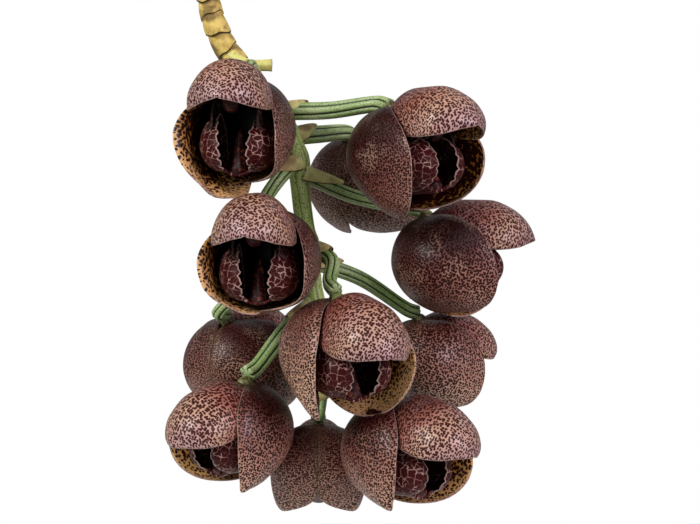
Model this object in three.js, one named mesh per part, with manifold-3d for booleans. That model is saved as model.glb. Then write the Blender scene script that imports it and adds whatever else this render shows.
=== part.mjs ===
// A potted Acineta superba in a hanging pot, with one drooping spike of eleven flowers.
// Millimetres, Z up. The origin is the inside top of the hook, where the whole plant hangs.

import * as THREE from 'three';
import { mergeVertices } from 'three/addons/utils/BufferGeometryUtils.js';
import Module from 'manifold-3d';

const wasm = await Module();
wasm.setup();

const { PI, sin, cos, abs, hypot, max, min, sign } = Math;
const radians = THREE.MathUtils.degToRad;
const vec = ( x, y, z ) => new THREE.Vector3( x, y, z );

// Driving dimensions

const GAP = 0.3;                 // clearance where separate pieces touch
const SIMPLIFY = 0.3;           // how far fused surfaces may move to lose small faces
const WELD = 1e-3;               // vertices closer than this are one

const HANGER_DROP = 262;         // from the hook's inside top down to the pot's rim
const WIRE_RADIUS = 1.3;
const HOOK_WIRE_RADIUS = 1.8;
const HOOK_RADIUS = 13;
const KNOT_DEPTH = 46;           // the ferrule's middle, where the three legs meet under the hook
const FERRULE_RADIUS = 4.6;
const FERRULE_LENGTH = 16;
const LEG_HEADINGS = [ 0, 120, 240 ];

const POT_HEIGHT = 116;
const POT_SECTORS = 24;
const RIM_RADIUS = 78;
const COLLAR_HEIGHT = 22;
const COLLAR_STEP = 4.5;
const BASE_RADIUS = 52;
const WALL = 6.5;
const DRAIN_RADIUS = 7;

const BARK_BELOW_RIM = 12;
const CHIP_COUNT = 16;
const CHIP_SIZE = [ 17, 10, 4 ];

const BULBS = [
	{ x: 22, y: - 20, radius: 20, height: 78, turn: 10, leaves: [ - 62, - 25 ] },
	{ x: 25, y: 25, radius: 22.5, height: 84, turn: 50, leaves: [ 38, 80 ] },
	{ x: - 24, y: 23, radius: 23.5, height: 88, turn: 95, leaves: [ 158, 203 ] },
	{ x: - 26, y: - 23, radius: 21, height: 72, turn: 30, leaves: [] },
];
const BULB_SUNK = 9;
const HOLE_HEIGHT = 12;            // half the height of the plain holes that the bulbs stand in
const BULB_SECTORS = 14;
const GROOVE = 0.09;

const LEAF_LENGTH = 262;
const LEAF_HALF_WIDTH = 29;
const LEAF_THICKNESS = 0.9;
const PLEATS = 2;
const PLEAT_DEPTH = 1.8;

const SPIKE = vec( 104, - 74, - 404 );   // the spike's own frame in the plant's frame
const STALK_RADIUS = 4.4;
const STALK_SWELL = 0.9;                 // how much wider the stalk is at its lower end
const STALK_SHEATHS = 26;
const SHEATH_LIP = 0.35;                 // how far a sheath's lip stands out
const SPUR_RADIUS = 2.7;
const RIBS = 4;

const SEPAL_THICKNESS = 1.2;
const PETAL_THICKNESS = 0.9;
const SEPAL_DEPTH = 25;                  // from the flower's middle plane to a lateral sepal's crown
const CUP_MIDDLE = [ 7.5, - 20.5 ];      // forward and up from the joint
const KNOB_RADIUS = 3.6;
const HOOD_BEND = 1.68;                  // angle from the hood's crest round to its rim, in radians
const PETAL_LENGTH = 25;
const PETAL_HALF_WIDTH = 4.8;
const LOBE_MIDDLE = vec( 16, 6.8, - 22 );
const LOBE_SIZE = vec( 17, 11.2, 12.2 );
const LIP_BACK = - 8;                    // where the lip's floor starts, forward of the joint
const LIP_LENGTH = 36;
const LIP_HEIGHT = - 35;
const CALLUS_HEIGHT = 3.2;

// Materials

const paint = ( color, roughness, metalness = 0 ) =>
	new THREE.MeshStandardMaterial( { color, roughness, metalness } );

const FINISH = {
	clay: paint( 0xb4694a, 0.85 ),
	bark: paint( 0x6b4a33, 0.9 ),
	bulb: paint( 0x7d9444, 0.5 ),
	leaf: paint( 0x4d7a34, 0.5 ),
	wire: paint( 0x9a9d9f, 0.35, 0.9 ),
	stalk: paint( 0xc9b46a, 0.6 ),
	rachis: paint( 0x6f8a4e, 0.5 ),
	bloom: paint( 0x8a5f54, 0.45 ),
};

// Solids

function toManifold( geometry ) {

	const plain = new THREE.BufferGeometry();
	plain.setAttribute( 'position', geometry.getAttribute( 'position' ).clone() );
	if ( geometry.index ) plain.setIndex( geometry.index.clone() );
	const merged = mergeVertices( plain, WELD );
	return new wasm.Manifold( new wasm.Mesh( {
		numProp: 3,
		vertProperties: new Float32Array( merged.getAttribute( 'position' ).array ),
		triVerts: new Uint32Array( merged.index.array ),
	} ) );

}

function toGeometry( solid ) {

	const { vertProperties, triVerts } = solid.getMesh();
	const geometry = new THREE.BufferGeometry();
	geometry.setAttribute( 'position', new THREE.BufferAttribute( new Float32Array( vertProperties ), 3 ) );
	geometry.setIndex( new THREE.BufferAttribute( new Uint32Array( triVerts ), 1 ) );
	geometry.computeVertexNormals();
	return geometry;

}

// The largest body of a solid, with close vertices made one: scraps are dropped and sealed hollows filled.

const largest = ( solid ) =>
	solid.decompose().reduce( ( best, next ) => ( next.volume() > best.volume() ? next : best ) );

const mainBody = ( solid ) => largest( toManifold( toGeometry( largest( solid.simplify( SIMPLIFY ) ) ) ) );

const fuse = ( geometries ) =>
	mainBody( geometries.map( toManifold ).reduce( ( sum, next ) => sum.add( next ) ) );

function indexed( points, faces ) {

	const geometry = new THREE.BufferGeometry();
	const places = points.flatMap( ( p ) => p.toArray() );
	geometry.setAttribute( 'position', new THREE.Float32BufferAttribute( places, 3 ) );
	geometry.setIndex( faces.flat() );
	return geometry;

}

const bell = ( value, middle, width ) => Math.exp( - ( ( ( value - middle ) / width ) ** 2 ) );

// Smooth curve through stations [ place, value ], with no overshoot between them.

function through( stations ) {

	const x = stations.map( ( s ) => s[ 0 ] );
	const y = stations.map( ( s ) => s[ 1 ] );
	const step = x.slice( 1 ).map( ( b, i ) => b - x[ i ] );
	const slope = step.map( ( h, i ) => ( y[ i + 1 ] - y[ i ] ) / h );
	const last = slope.length;
	const tangent = y.map( ( _, i ) => {

		if ( i === 0 ) return slope[ 0 ];
		if ( i === last ) return slope[ last - 1 ];
		if ( slope[ i - 1 ] * slope[ i ] <= 0 ) return 0;
		const near = 2 * step[ i ] + step[ i - 1 ];
		const far = step[ i ] + 2 * step[ i - 1 ];
		return ( near + far ) / ( near / slope[ i - 1 ] + far / slope[ i ] );

	} );
	return ( place ) => {

		let i = 0;
		while ( i < last - 1 && place >= x[ i + 1 ] ) i ++;
		const t = min( 1, max( 0, ( place - x[ i ] ) / step[ i ] ) );
		const s = 1 - t;
		return ( 1 + 2 * t ) * s * s * y[ i ] + t * s * s * step[ i ] * tangent[ i ]
			+ t * t * ( 3 - 2 * t ) * y[ i + 1 ] - t * t * s * step[ i ] * tangent[ i + 1 ];

	};

}

// Grid of points by row and column; faces look to the right of the rows when the columns run up.

function grid( rows, columns, point, { closed = false, pole = false } = {} ) {

	const points = [];
	const at = [];
	for ( let i = 0; i < rows; i ++ ) {

		at.push( [] );
		for ( let j = 0; j < columns; j ++ ) {

			if ( pole && i === 0 && j > 0 ) {

				at[ i ].push( at[ i ][ 0 ] );
				continue;

			}

			at[ i ].push( points.length );
			points.push( point( i, j ) );

		}

	}

	const faces = [];
	for ( let i = 0; i < rows - 1; i ++ ) {

		for ( let j = 0; j < ( closed ? columns : columns - 1 ); j ++ ) {

			const k = ( j + 1 ) % columns;
			const corners = [ at[ i ][ j ], at[ i ][ k ], at[ i + 1 ][ k ], at[ i + 1 ][ j ] ];
			if ( corners[ 0 ] !== corners[ 1 ] ) faces.push( [ corners[ 0 ], corners[ 1 ], corners[ 2 ] ] );
			faces.push( [ corners[ 0 ], corners[ 2 ], corners[ 3 ] ] );

		}

	}

	return { points, faces };

}

const mirrored = ( { points, faces } ) => ( {
	points: points.map( ( p ) => vec( p.x, - p.y, p.z ) ),
	faces: faces.map( ( [ a, b, c ] ) => [ a, c, b ] ),
} );

// Two sheets with like points, left and right, as one, joined where both meet the middle plane.

function joined( left, right ) {

	const count = left.points.length;
	const onPlane = ( i ) => abs( left.points[ i ].y ) < WELD && abs( right.points[ i ].y ) < WELD;
	const place = ( i ) => ( onPlane( i ) ? i : i + count );
	return {
		points: left.points.concat( right.points ),
		faces: left.faces.concat( right.faces.map( ( face ) => face.map( place ) ) ),
	};

}

// Gives a sheet its thickness on the inner side of its faces, with both sides split alike.

function thicken( { points, faces }, thickness ) {

	const normals = points.map( () => vec( 0, 0, 0 ) );
	const directed = new Set();
	for ( const [ a, b, c ] of faces ) {

		const along = points[ b ].clone().sub( points[ a ] );
		const normal = along.cross( points[ c ].clone().sub( points[ a ] ) );
		for ( const corner of [ a, b, c ] ) normals[ corner ].add( normal );
		for ( const edge of [ [ a, b ], [ b, c ], [ c, a ] ] ) directed.add( edge.join() );

	}

	const count = points.length;
	const inner = points.map( ( p, i ) => p.clone().addScaledVector( normals[ i ].normalize(), - thickness ) );
	const all = faces.concat( faces.map( ( [ a, b, c ] ) => [ c + count, b + count, a + count ] ) );
	for ( const edge of directed ) {

		const [ a, b ] = edge.split( ',' ).map( Number );
		if ( directed.has( [ b, a ].join() ) ) continue;
		all.push( [ b, a, a + count ], [ b, a + count, b + count ] );

	}

	return indexed( points.concat( inner ), all );

}

// Sweeps a ribbed round section along a smooth path, closed with flat ends. Stations run from 0 to 1.

const evenly = ( steps ) => Array.from( { length: steps + 1 }, ( _, i ) => i / steps );

function sweep( path, radius, { sides = 8, stations = evenly( 12 ), rib = 0 } = {} ) {

	const curve = new THREE.CatmullRomCurve3( path, false, 'centripetal' );
	const size = typeof radius === 'function' ? radius : () => radius;
	const tangents = stations.map( ( t ) => curve.getTangentAt( t ) );
	const steepest = abs( tangents[ 0 ].y ) < 0.8 ? vec( 0, 1, 0 ) : vec( 1, 0, 0 );
	const across = steepest.addScaledVector( tangents[ 0 ], - steepest.dot( tangents[ 0 ] ) ).normalize();
	const normals = [];
	tangents.forEach( ( tangent, i ) => {

		const turn = new THREE.Quaternion().setFromUnitVectors( tangents[ max( 0, i - 1 ) ], tangent );
		across.applyQuaternion( turn ).addScaledVector( tangent, - across.dot( tangent ) ).normalize();
		normals.push( across.clone() );

	} );
	const skin = grid( stations.length, sides, ( i, j ) => {

		const angle = 2 * PI * j / sides;
		const reach = size( stations[ i ], i ) * ( 1 + rib * cos( RIBS * angle ) );
		return curve.getPointAt( stations[ i ] )
			.addScaledVector( normals[ i ], reach * cos( angle ) )
			.addScaledVector( tangents[ i ].clone().cross( normals[ i ] ), reach * sin( angle ) );

	}, { closed: true } );
	const start = skin.points.length;
	skin.points.push( curve.getPointAt( 0 ), curve.getPointAt( 1 ) );
	const row = start - sides;
	for ( let j = 0; j < sides; j ++ ) {

		const k = ( j + 1 ) % sides;
		skin.faces.push( [ start, k, j ], [ start + 1, row + j, row + k ] );

	}

	return indexed( skin.points, skin.faces );

}

// Turns a profile of [ radius, height ] points round the Z axis.

function turned( profile, sectors ) {

	const points = profile.map( ( [ r, z ] ) => new THREE.Vector2( r, z ) );
	return new THREE.LatheGeometry( points, sectors ).rotateX( PI / 2 );

}

// Pot and hanger

const rimHeight = - HANGER_DROP;
const wallLean = ( RIM_RADIUS - 1 - COLLAR_STEP - BASE_RADIUS ) / ( POT_HEIGHT - COLLAR_HEIGHT );
const innerRadius = ( depth ) => RIM_RADIUS - 3 - WALL - depth * wallLean;

function potWall() {

	const floor = POT_HEIGHT - WALL;
	const ring = [
		[ DRAIN_RADIUS, - POT_HEIGHT ],
		[ BASE_RADIUS, - POT_HEIGHT ],
		[ RIM_RADIUS - 1 - COLLAR_STEP, - COLLAR_HEIGHT ],
		[ RIM_RADIUS - 1, - COLLAR_HEIGHT ],
		[ RIM_RADIUS, - 2 ],
		[ RIM_RADIUS - 2, 0 ],
		[ innerRadius( 0 ) + 2, 0 ],
		[ innerRadius( 2 ), - 2 ],
		[ innerRadius( floor ), - floor ],
		[ DRAIN_RADIUS, - floor ],
		[ DRAIN_RADIUS, - POT_HEIGHT ],
	];
	return turned( ring, POT_SECTORS ).translate( 0, 0, rimHeight );

}

// The hook ends in a round ferrule, and the three legs leave its flat underside.

function hook() {

	const onHook = ( angle ) => vec( HOOK_RADIUS * cos( radians( angle ) ), 0,
		HOOK_RADIUS * ( sin( radians( angle ) ) - 1 ) + HOOK_WIRE_RADIUS );
	const bent = sweep( [
		...[ - 20, 20, 55, 90, 125, 160, 195 ].map( onHook ),
		vec( - HOOK_RADIUS * 0.55, 0, - HOOK_RADIUS - 12 ),
		vec( 0, 0, - HOOK_RADIUS - 20 ),
		vec( 0, 0, - KNOT_DEPTH ),
	], HOOK_WIRE_RADIUS, { sides: 7, stations: evenly( 16 ) } );
	const half = FERRULE_LENGTH / 2;
	const bevel = 1;
	const ferrule = turned( [
		[ 0, - half ],
		[ FERRULE_RADIUS, - half ],
		[ FERRULE_RADIUS, half - bevel ],
		[ FERRULE_RADIUS - bevel, half ],
		[ 0, half ],
	], 12 );
	return fuse( [ bent, ferrule.translate( 0, 0, - KNOT_DEPTH ) ] );

}

function leg( heading ) {

	const out = RIM_RADIUS + GAP + WIRE_RADIUS + 0.4;
	const top = - KNOT_DEPTH - FERRULE_LENGTH / 2 - GAP;
	const under = rimHeight - COLLAR_HEIGHT - GAP - WIRE_RADIUS - 0.3;
	const at = ( r, z ) => vec( r * cos( radians( heading ) ), r * sin( radians( heading ) ), z );
	const line = [
		at( 2.4, top ), at( 2.8, top - 4 ), at( 30, rimHeight * 0.48 ), at( out - 5, rimHeight + 16 ),
		at( out, rimHeight + 2 ), at( out, rimHeight - 10 ), at( out, under + 4 ),
		at( out - 1.2, under + 0.7 ), at( out - 4.8, under ),
	];
	const stations = [ 0, 0.02, 0.06, 0.4, 0.75, 0.84, 0.88, 0.93, 0.965, 0.978, 0.988, 1 ];
	return sweep( line, WIRE_RADIUS, { sides: 6, stations } );

}

// Bulbs: ridged eggs that stand in the bark

const bulbTop = ( bulb ) => vec( bulb.x, bulb.y, rimHeight - BARK_BELOW_RIM - BULB_SUNK + bulb.height );

function bulbSkin( bulb ) {

	const girth = through( [
		[ 0, 0.62 ], [ 0.12, 0.86 ], [ 0.35, 1 ], [ 0.62, 0.84 ], [ 0.85, 0.5 ], [ 1, 0.27 ],
	] );
	const rows = 7;
	const base = rimHeight - BARK_BELOW_RIM - BULB_SUNK;
	const skin = grid( rows, BULB_SECTORS, ( i, j ) => {

		const u = i / ( rows - 1 );
		const angle = 2 * PI * j / BULB_SECTORS + radians( bulb.turn );
		const ridge = 1 - GROOVE * ( j % 2 ) * sin( PI * min( 1, u + 0.08 ) );
		const r = bulb.radius * girth( u ) * ridge;
		return vec( bulb.x + r * cos( angle ), bulb.y + r * sin( angle ), base + bulb.height * u );

	}, { closed: true } );
	const low = skin.points.length;
	skin.points.push( vec( bulb.x, bulb.y, base ), vec( bulb.x, bulb.y, base + bulb.height ) );
	for ( let j = 0; j < BULB_SECTORS; j ++ ) {

		const k = ( j + 1 ) % BULB_SECTORS;
		const row = ( rows - 1 ) * BULB_SECTORS;
		skin.faces.push( [ low, k, j ], [ low + 1, row + j, row + k ] );

	}

	return indexed( skin.points, skin.faces );

}

// Leaves: long pleated blades that arch outward from a bulb's top

function blade( heading, length, early, late ) {

	const rows = 9;
	const columns = 2 * PLEATS + 1;
	const half = through( [
		[ 0, 4 ], [ 0.1, 6 ], [ 0.3, 19 ], [ 0.55, LEAF_HALF_WIDTH ], [ 0.8, 22 ], [ 0.94, 9 ], [ 1, 1 ],
	] );
	const midrib = [ vec( 0, 0, 0 ) ];
	const fine = 60;
	const lean = ( u ) => radians( early + ( late - early ) * u ** 1.3 );
	for ( let k = 0; k < fine; k ++ ) {

		const a = lean( ( k + 0.5 ) / fine );
		midrib.push( midrib[ k ].clone().add( vec( sin( a ), 0, cos( a ) ).multiplyScalar( length / fine ) ) );

	}

	const sheet = grid( rows, columns, ( i, j ) => {

		const u = i / ( rows - 1 );
		const v = 2 * j / ( columns - 1 ) - 1;
		const a = lean( u );
		const upper = vec( - cos( a ), 0, sin( a ) );
		const grown = sin( PI * min( 1, u * 1.15 ) );
		const lift = 0.2 * half( u ) * v * v + PLEAT_DEPTH * ( j % 2 ? - 1 : 1 ) * max( 0.15, grown );
		return midrib[ Math.round( u * fine ) ].clone()
			.add( vec( 0, half( u ) * v, 0 ) )
			.addScaledVector( upper, lift );

	} );
	return thicken( sheet, LEAF_THICKNESS ).rotateZ( radians( heading ) );

}

function leafTuft( bulb ) {

	const collar = turned( [ [ 0, GAP ], [ 5.4, GAP ], [ 6.6, 5 ], [ 4, 13 ], [ 0, 15 ] ], 8 );
	const habits = [ { share: 1, early: 8, late: 118 }, { share: 0.88, early: 16, late: 128 } ];
	const blades = bulb.leaves.map( ( heading, k ) => {

		const { share, early, late } = habits[ k ];
		return blade( heading, share * LEAF_LENGTH, early, late ).translate( 0, 0, 4 );

	} );
	const top = bulbTop( bulb );
	return fuse( [ collar, ...blades ] ).translate( top.x, top.y, top.z );

}

// Bark: a filling with loose chips on top, and plain holes for the bulbs and the stalk

function seeded( seed ) {

	let state = seed;
	return () => {

		state = ( Math.imul( state, 1664525 ) + 1013904223 ) >>> 0;
		return state / 4294967296;

	};

}

function bark( cuts ) {

	const floor = POT_HEIGHT - WALL - GAP;
	const inner = ( depth ) => innerRadius( depth ) - GAP - 0.1;
	const body = turned( [
		[ 0, - floor ],
		[ inner( floor ), - floor ],
		[ inner( BARK_BELOW_RIM ), - BARK_BELOW_RIM ],
		[ 0, - BARK_BELOW_RIM + 1 ],
	], POT_SECTORS );
	const random = seeded( 7 );
	const golden = PI * ( 3 - Math.sqrt( 5 ) );
	const chips = Array.from( { length: CHIP_COUNT }, ( _, k ) => {

		const r = ( inner( BARK_BELOW_RIM ) - 11 ) * Math.sqrt( ( k + 0.5 ) / CHIP_COUNT );
		const size = CHIP_SIZE.map( ( side ) => side * ( 0.75 + 0.5 * random() ) );
		const chip = new THREE.BoxGeometry( ...size );
		chip.rotateX( 0.5 * ( random() - 0.5 ) ).rotateY( 0.5 * ( random() - 0.5 ) ).rotateZ( 2 * PI * random() );
		return chip.translate( r * cos( k * golden ), r * sin( k * golden ), - BARK_BELOW_RIM + 1 );

	} );
	const solid = fuse( [ body, ...chips ] ).translate( 0, 0, rimHeight );
	return mainBody( cuts.map( toManifold ).reduce( ( rest, cut ) => rest.subtract( cut ), solid ) );

}

// Stalk: rises from the foot of the front bulb, arches over the rim and hangs down

const inSpike = ( x, y, z ) => vec( x, y, z ).add( SPIKE );
const barkTop = rimHeight - BARK_BELOW_RIM;

const STALK_PATH = [
	vec( 40, - 42, barkTop - 8 ), vec( 40.5, - 43, barkTop + 5 ), vec( 42, - 45.5, rimHeight + 3 ),
	vec( 48, - 54, rimHeight + 13.5 ), vec( 57, - 66, rimHeight + 13 ), vec( 63.5, - 74, rimHeight ),
	vec( 65, - 76, rimHeight - 22 ), vec( 64, - 75, rimHeight - 60 ), vec( 61, - 73, rimHeight - 100 ),
	vec( 58.5, - 71, rimHeight - 130 ),
	inSpike( - 44, 5, - 4 ), inSpike( - 40.5, 5, - 14 ), inSpike( - 37, 6, - 21 ), inSpike( - 32, 7, - 28 ),
];
const SPUR_PATH = [ inSpike( - 35.5, 4, - 23.5 ), inSpike( - 27, - 1, - 28.6 ), inSpike( - 16.7, - 1.5, - 29 ) ];

// The sheaths get shorter down the stalk, and each ends in a lip.

function stalk() {

	const gap = 0.002;
	const end = ( k ) => ( k / STALK_SHEATHS ) ** 0.85;
	const stations = [ 0 ];
	for ( let k = 1; k < STALK_SHEATHS; k ++ ) stations.push( end( k ) - gap, end( k ) + gap );
	stations.push( 1 );
	const radius = ( t, i ) => STALK_RADIUS + STALK_SWELL * t * t + ( i % 2 ? SHEATH_LIP : - SHEATH_LIP );
	const skin = sweep( STALK_PATH, radius, { sides: 7, stations } );
	const spur = sweep( SPUR_PATH, SPUR_RADIUS, { sides: 6, stations: evenly( 3 ) } );
	return fuse( [ skin, spur ] );

}

// Flowers, top to bottom, in the spike's frame. A pair is for the right and the left side sepal:
// wide is how far it bulges, slim cuts back its front, flare spreads it, sag makes its bottom longer
// and tip draws out its tip, in millimetres. close draws both tips in, gape drops the lower parts,
// stem is the pedicel's radius, arrive is how high it comes in, bow bends it aside, and bract is the
// length of the bract at its foot.

const PLAIN_BLOOM = {
	pitch: 0, gape: 0, size: 1, wide: [ 1, 1 ], slim: [ 0, 0 ], flare: [ 0, 0 ], sag: [ 0, 0 ],
	tip: [ 0, 0 ], close: 0, stem: 3.4, arrive: 4.2, bow: [ 0, 0, 0 ], bract: 11,
};
const BLOOMS = [
	{
		at: [ - 27.8, - 19, - 37 ], root: [ - 17, 8.5, - 48 ], yaw: - 12, gape: 24,
		wide: [ 1.05, 0.87 ], flare: [ 0.35, - 0.04 ], sag: [ 0.3, 0 ], tip: [ 2, 0 ], close: 0.6,
		bow: [ 0, 0, - 2 ],
	},
	{
		at: [ 36.8, - 15, - 49 ], root: [ - 14, 7, - 48.5 ], yaw: 45, pitch: 2, gape: 7, size: 1.03,
		flare: [ 0, 0.08 ], sag: [ 0.2, 0 ],
		stem: 4, arrive: 2, bow: [ 0, 0, - 4.5 ],
	},
	{
		at: [ 20, 34, - 59.2 ], root: [ - 8, 8, - 59.5 ], yaw: 150, gape: 5,
		slim: [ 0.5, 0.5 ], stem: 4, arrive: 1.5, bow: [ 0, 0, - 2 ],
	},
	{
		at: [ 52, 4, - 95.5 ], root: [ - 4, 2, - 76 ], yaw: 90,
		slim: [ 0.8, 0 ], sag: [ 0, 0.15 ], bow: [ 0, 5.5, - 6 ], bract: 18,
	},
	{
		at: [ - 19.6, - 20, - 93 ], root: [ - 6, 2, - 71 ], yaw: - 8, pitch: - 2, gape: 18,
		flare: [ 0.35, - 0.04 ], tip: [ 2, 0 ], close: 1.1,
	},
	{
		at: [ 12.6, - 30, - 132 ], root: [ 0.5, 0, - 109 ], yaw: 30, pitch: - 16, gape: 6, size: 1.03,
		slim: [ 0.85, 0 ], flare: [ - 0.04, 0.12 ], sag: [ 0, 0.18 ], tip: [ 4, 0 ], bow: [ 5, 0, 0 ],
	},
	{ at: [ - 36.5, 20, - 142 ], root: [ - 1.5, 5, - 110 ], yaw: 152, slim: [ 0.5, 0.5 ] },
	{
		at: [ - 28.6, - 15, - 168.5 ], root: [ 1.5, 1, - 134 ], yaw: - 48, pitch: - 21, gape: - 1, size: 0.96,
		wide: [ 1, 0.9 ], slim: [ 0, 1 ], flare: [ 0.12, - 0.04 ], tip: [ 0, 2.5 ], stem: 4,
	},
	{
		at: [ 3.5, 13, - 188 ], root: [ 4.5, 10, - 172 ], yaw: 180, pitch: - 18, gape: 4, size: 0.86,
		slim: [ 0.3, 0.3 ], close: - 0.27, bract: 5,
	},
	{
		at: [ 37.5, - 15, - 176.5 ], root: [ 4, 4, - 154 ], yaw: 48, pitch: - 14, gape: 7,
		slim: [ 1, 0 ], flare: [ - 0.04, 0.12 ], sag: [ - 0.08, 0 ], tip: [ 1.5, 0 ],
	},
	{ at: [ 49.4, 22, - 141.5 ], root: [ 1, 4, - 115 ], yaw: 122, pitch: - 10, size: 0.88, slim: [ 0.9, 0.8 ] },
].map( ( bloom ) => ( { ...PLAIN_BLOOM, ...bloom } ) );

// A flower's own frame: X forward out of its mouth, Y to its side, Z up, origin at its joint.

function bloomFrame( bloom ) {

	const yaw = radians( bloom.yaw );
	const pitch = radians( bloom.pitch );
	const forward = vec( sin( yaw ) * cos( pitch ), - cos( yaw ) * cos( pitch ), sin( pitch ) );
	const side = vec( cos( yaw ), sin( yaw ), 0 );
	const up = forward.clone().cross( side );
	return new THREE.Matrix4().makeBasis( forward, side, up )
		.scale( vec( bloom.size, bloom.size, bloom.size ) )
		.setPosition( inSpike( ...bloom.at ) );

}

// Lateral sepal: a deep bowl seen from its side, by angle round its middle (0 forward, 90 up):
// the outline's reach, full and cut back in front, and how much of the bowl's depth the edge keeps.

const fullReach = through( [
	[ - 256, 22 ], [ - 219, 24.3 ], [ - 183, 23.8 ], [ - 150, 22.4 ], [ - 122, 21.4 ], [ - 95, 21.2 ],
	[ - 68, 22.2 ], [ - 56, 22.9 ], [ - 44, 23.9 ], [ - 31, 24.8 ], [ - 20, 25.3 ], [ - 8, 25.5 ], [ 6, 25.1 ],
	[ 20, 23.9 ], [ 35, 22.2 ], [ 50, 21 ], [ 65, 20.7 ], [ 87, 21.6 ], [ 104, 22 ],
] );
const slimReach = through( [
	[ - 256, 22 ], [ - 219, 24.3 ], [ - 183, 23.8 ], [ - 150, 22.4 ], [ - 122, 21.4 ], [ - 95, 21.2 ],
	[ - 68, 23.2 ], [ - 56, 24.9 ], [ - 44, 26 ], [ - 31, 24.9 ], [ - 20, 23 ], [ - 8, 21.2 ], [ 6, 19.8 ],
	[ 20, 19.2 ], [ 35, 19.4 ], [ 50, 20 ], [ 65, 20.6 ], [ 87, 21.6 ], [ 104, 22 ],
] );
const sepalEdge = through( [
	[ - 256, 0.2 ], [ - 219, 0 ], [ - 183, 0 ], [ - 134, 0 ], [ - 95, 0.14 ], [ - 68, 0.38 ], [ - 50, 0.56 ],
	[ - 38, 0.68 ], [ - 30, 0.75 ], [ - 18, 0.83 ], [ - 4, 0.88 ], [ 16, 0.9 ], [ 44, 0.8 ], [ 65, 0.67 ],
	[ 87, 0.45 ], [ 104, 0.2 ],
] );

function lateralSepal( bloom, side ) {

	const angles = [ - 256, - 217, - 176, - 135, - 99, - 68, - 44, - 25, 0, 44 ];
	const rows = 4;
	const flare = bloom.flare[ side ];
	const deep = SEPAL_DEPTH * bloom.wide[ side ] * ( 1 - 0.6 * max( flare, 0 ) );
	return grid( rows, angles.length, ( i, j ) => {

		const angle = angles[ j ];
		const tilt = i / ( rows - 1 ) * PI / 2;
		const outline = THREE.MathUtils.lerp( fullReach( angle ), slimReach( angle ), bloom.slim[ side ] );
		const longer = 1 + bloom.sag[ side ] * bell( angle, - 60, 35 );
		const reach = ( outline * longer + bloom.tip[ side ] * bell( angle, - 42, 7 ) ) * sin( tilt );
		const edge = sepalEdge( angle ) + flare * bell( angle, 22, 52 ) - bloom.close * bell( angle, - 68, 28 );
		return vec(
			CUP_MIDDLE[ 0 ] + reach * cos( radians( angle ) ),
			deep * ( 1 - ( 1 - max( 0, edge ) ) * ( 1 - cos( tilt ) ) ),
			CUP_MIDDLE[ 1 ] + reach * sin( radians( angle ) ),
		);

	}, { closed: true, pole: true } );

}

// Dorsal sepal: a hood from a crest line to a rim line, by share of its length.

const crest = {
	forward: through( [
		[ 0, 0 ], [ 0.12, 5 ], [ 0.3, 15 ], [ 0.5, 27 ], [ 0.7, 37.5 ], [ 0.86, 44 ], [ 0.95, 46.5 ],
		[ 1, 47.5 ],
	] ),
	up: through( [
		[ 0, 0 ], [ 0.12, 4 ], [ 0.3, 7.8 ], [ 0.5, 7.6 ], [ 0.7, 3.6 ], [ 0.86, - 2.4 ], [ 0.95, - 7 ],
		[ 1, - 10 ],
	] ),
};
const hoodRim = {
	forward: through( [
		[ 0, 0 ], [ 0.12, 3 ], [ 0.3, 11 ], [ 0.5, 21.5 ], [ 0.7, 31 ], [ 0.86, 39 ], [ 0.95, 44 ],
		[ 1, 47.2 ],
	] ),
	side: through( [
		[ 0, 2 ], [ 0.12, 7.4 ], [ 0.3, 14 ], [ 0.5, 17.6 ], [ 0.7, 17 ], [ 0.86, 12.4 ], [ 0.95, 6.6 ],
		[ 1, 0.8 ],
	] ),
	up: through( [
		[ 0, - 1 ], [ 0.12, - 4 ], [ 0.3, - 9.5 ], [ 0.5, - 13.5 ], [ 0.7, - 14.5 ], [ 0.86, - 13.6 ],
		[ 0.95, - 11.8 ], [ 1, - 10.6 ],
	] ),
};

function dorsalSepal() {

	const stations = [ 0, 0.22, 0.5, 0.8, 1 ];
	const columns = 7;
	const sheet = grid( stations.length, columns, ( i, j ) => {

		const u = stations[ i ];
		const v = 2 * j / ( columns - 1 ) - 1;
		const bend = abs( v ) * HOOD_BEND;
		const drop = ( 1 - cos( bend ) ) / ( 1 - cos( HOOD_BEND ) );
		const side = sign( v ) * sin( bend ) / sin( HOOD_BEND );
		return vec(
			THREE.MathUtils.lerp( crest.forward( u ), hoodRim.forward( u ), drop ),
			hoodRim.side( u ) * side,
			THREE.MathUtils.lerp( crest.up( u ), hoodRim.up( u ), drop ),
		);

	} );
	return { points: sheet.points, faces: sheet.faces.map( ( [ a, b, c ] ) => [ a, c, b ] ) };

}

// Petal: a small blade between the hood and the bowl.

function petal() {

	const rows = 3;
	return grid( rows, 2, ( i, j ) => {

		const u = i / ( rows - 1 );
		const v = 2 * j - 1;
		const half = PETAL_HALF_WIDTH * sin( PI * ( 0.06 + 0.86 * u ) ) ** 0.8;
		const slope = vec( PETAL_LENGTH, 0, - 3 - 16 * u ).normalize();
		const out = 2.2 + 9.5 * sin( PI / 2 * min( 1, u * 1.3 ) ) - 1.5 * v * u;
		const droop = 2.3 + 4 * u + 6 * u * u;
		return vec( PETAL_LENGTH * u - slope.z * half * v, out, slope.x * half * v - droop );

	} );

}

// Lip: two swollen side lobes, a tongue with a raised callus between them, and the column above.

function lipLobe() {

	const rows = 3;
	const columns = 3;
	const sheet = grid( rows, columns, ( i, j ) => {

		const round = radians( - 6 + 124 * i / ( rows - 1 ) );
		const height = radians( - 62 + 118 * j / ( columns - 1 ) );
		const ball = vec( cos( round ) * cos( height ), sin( round ) * cos( height ), sin( height ) );
		return ball.multiply( LOBE_SIZE ).add( LOBE_MIDDLE );

	} );
	return { points: sheet.points, faces: sheet.faces.map( ( [ a, b, c ] ) => [ a, c, b ] ) };

}

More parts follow.
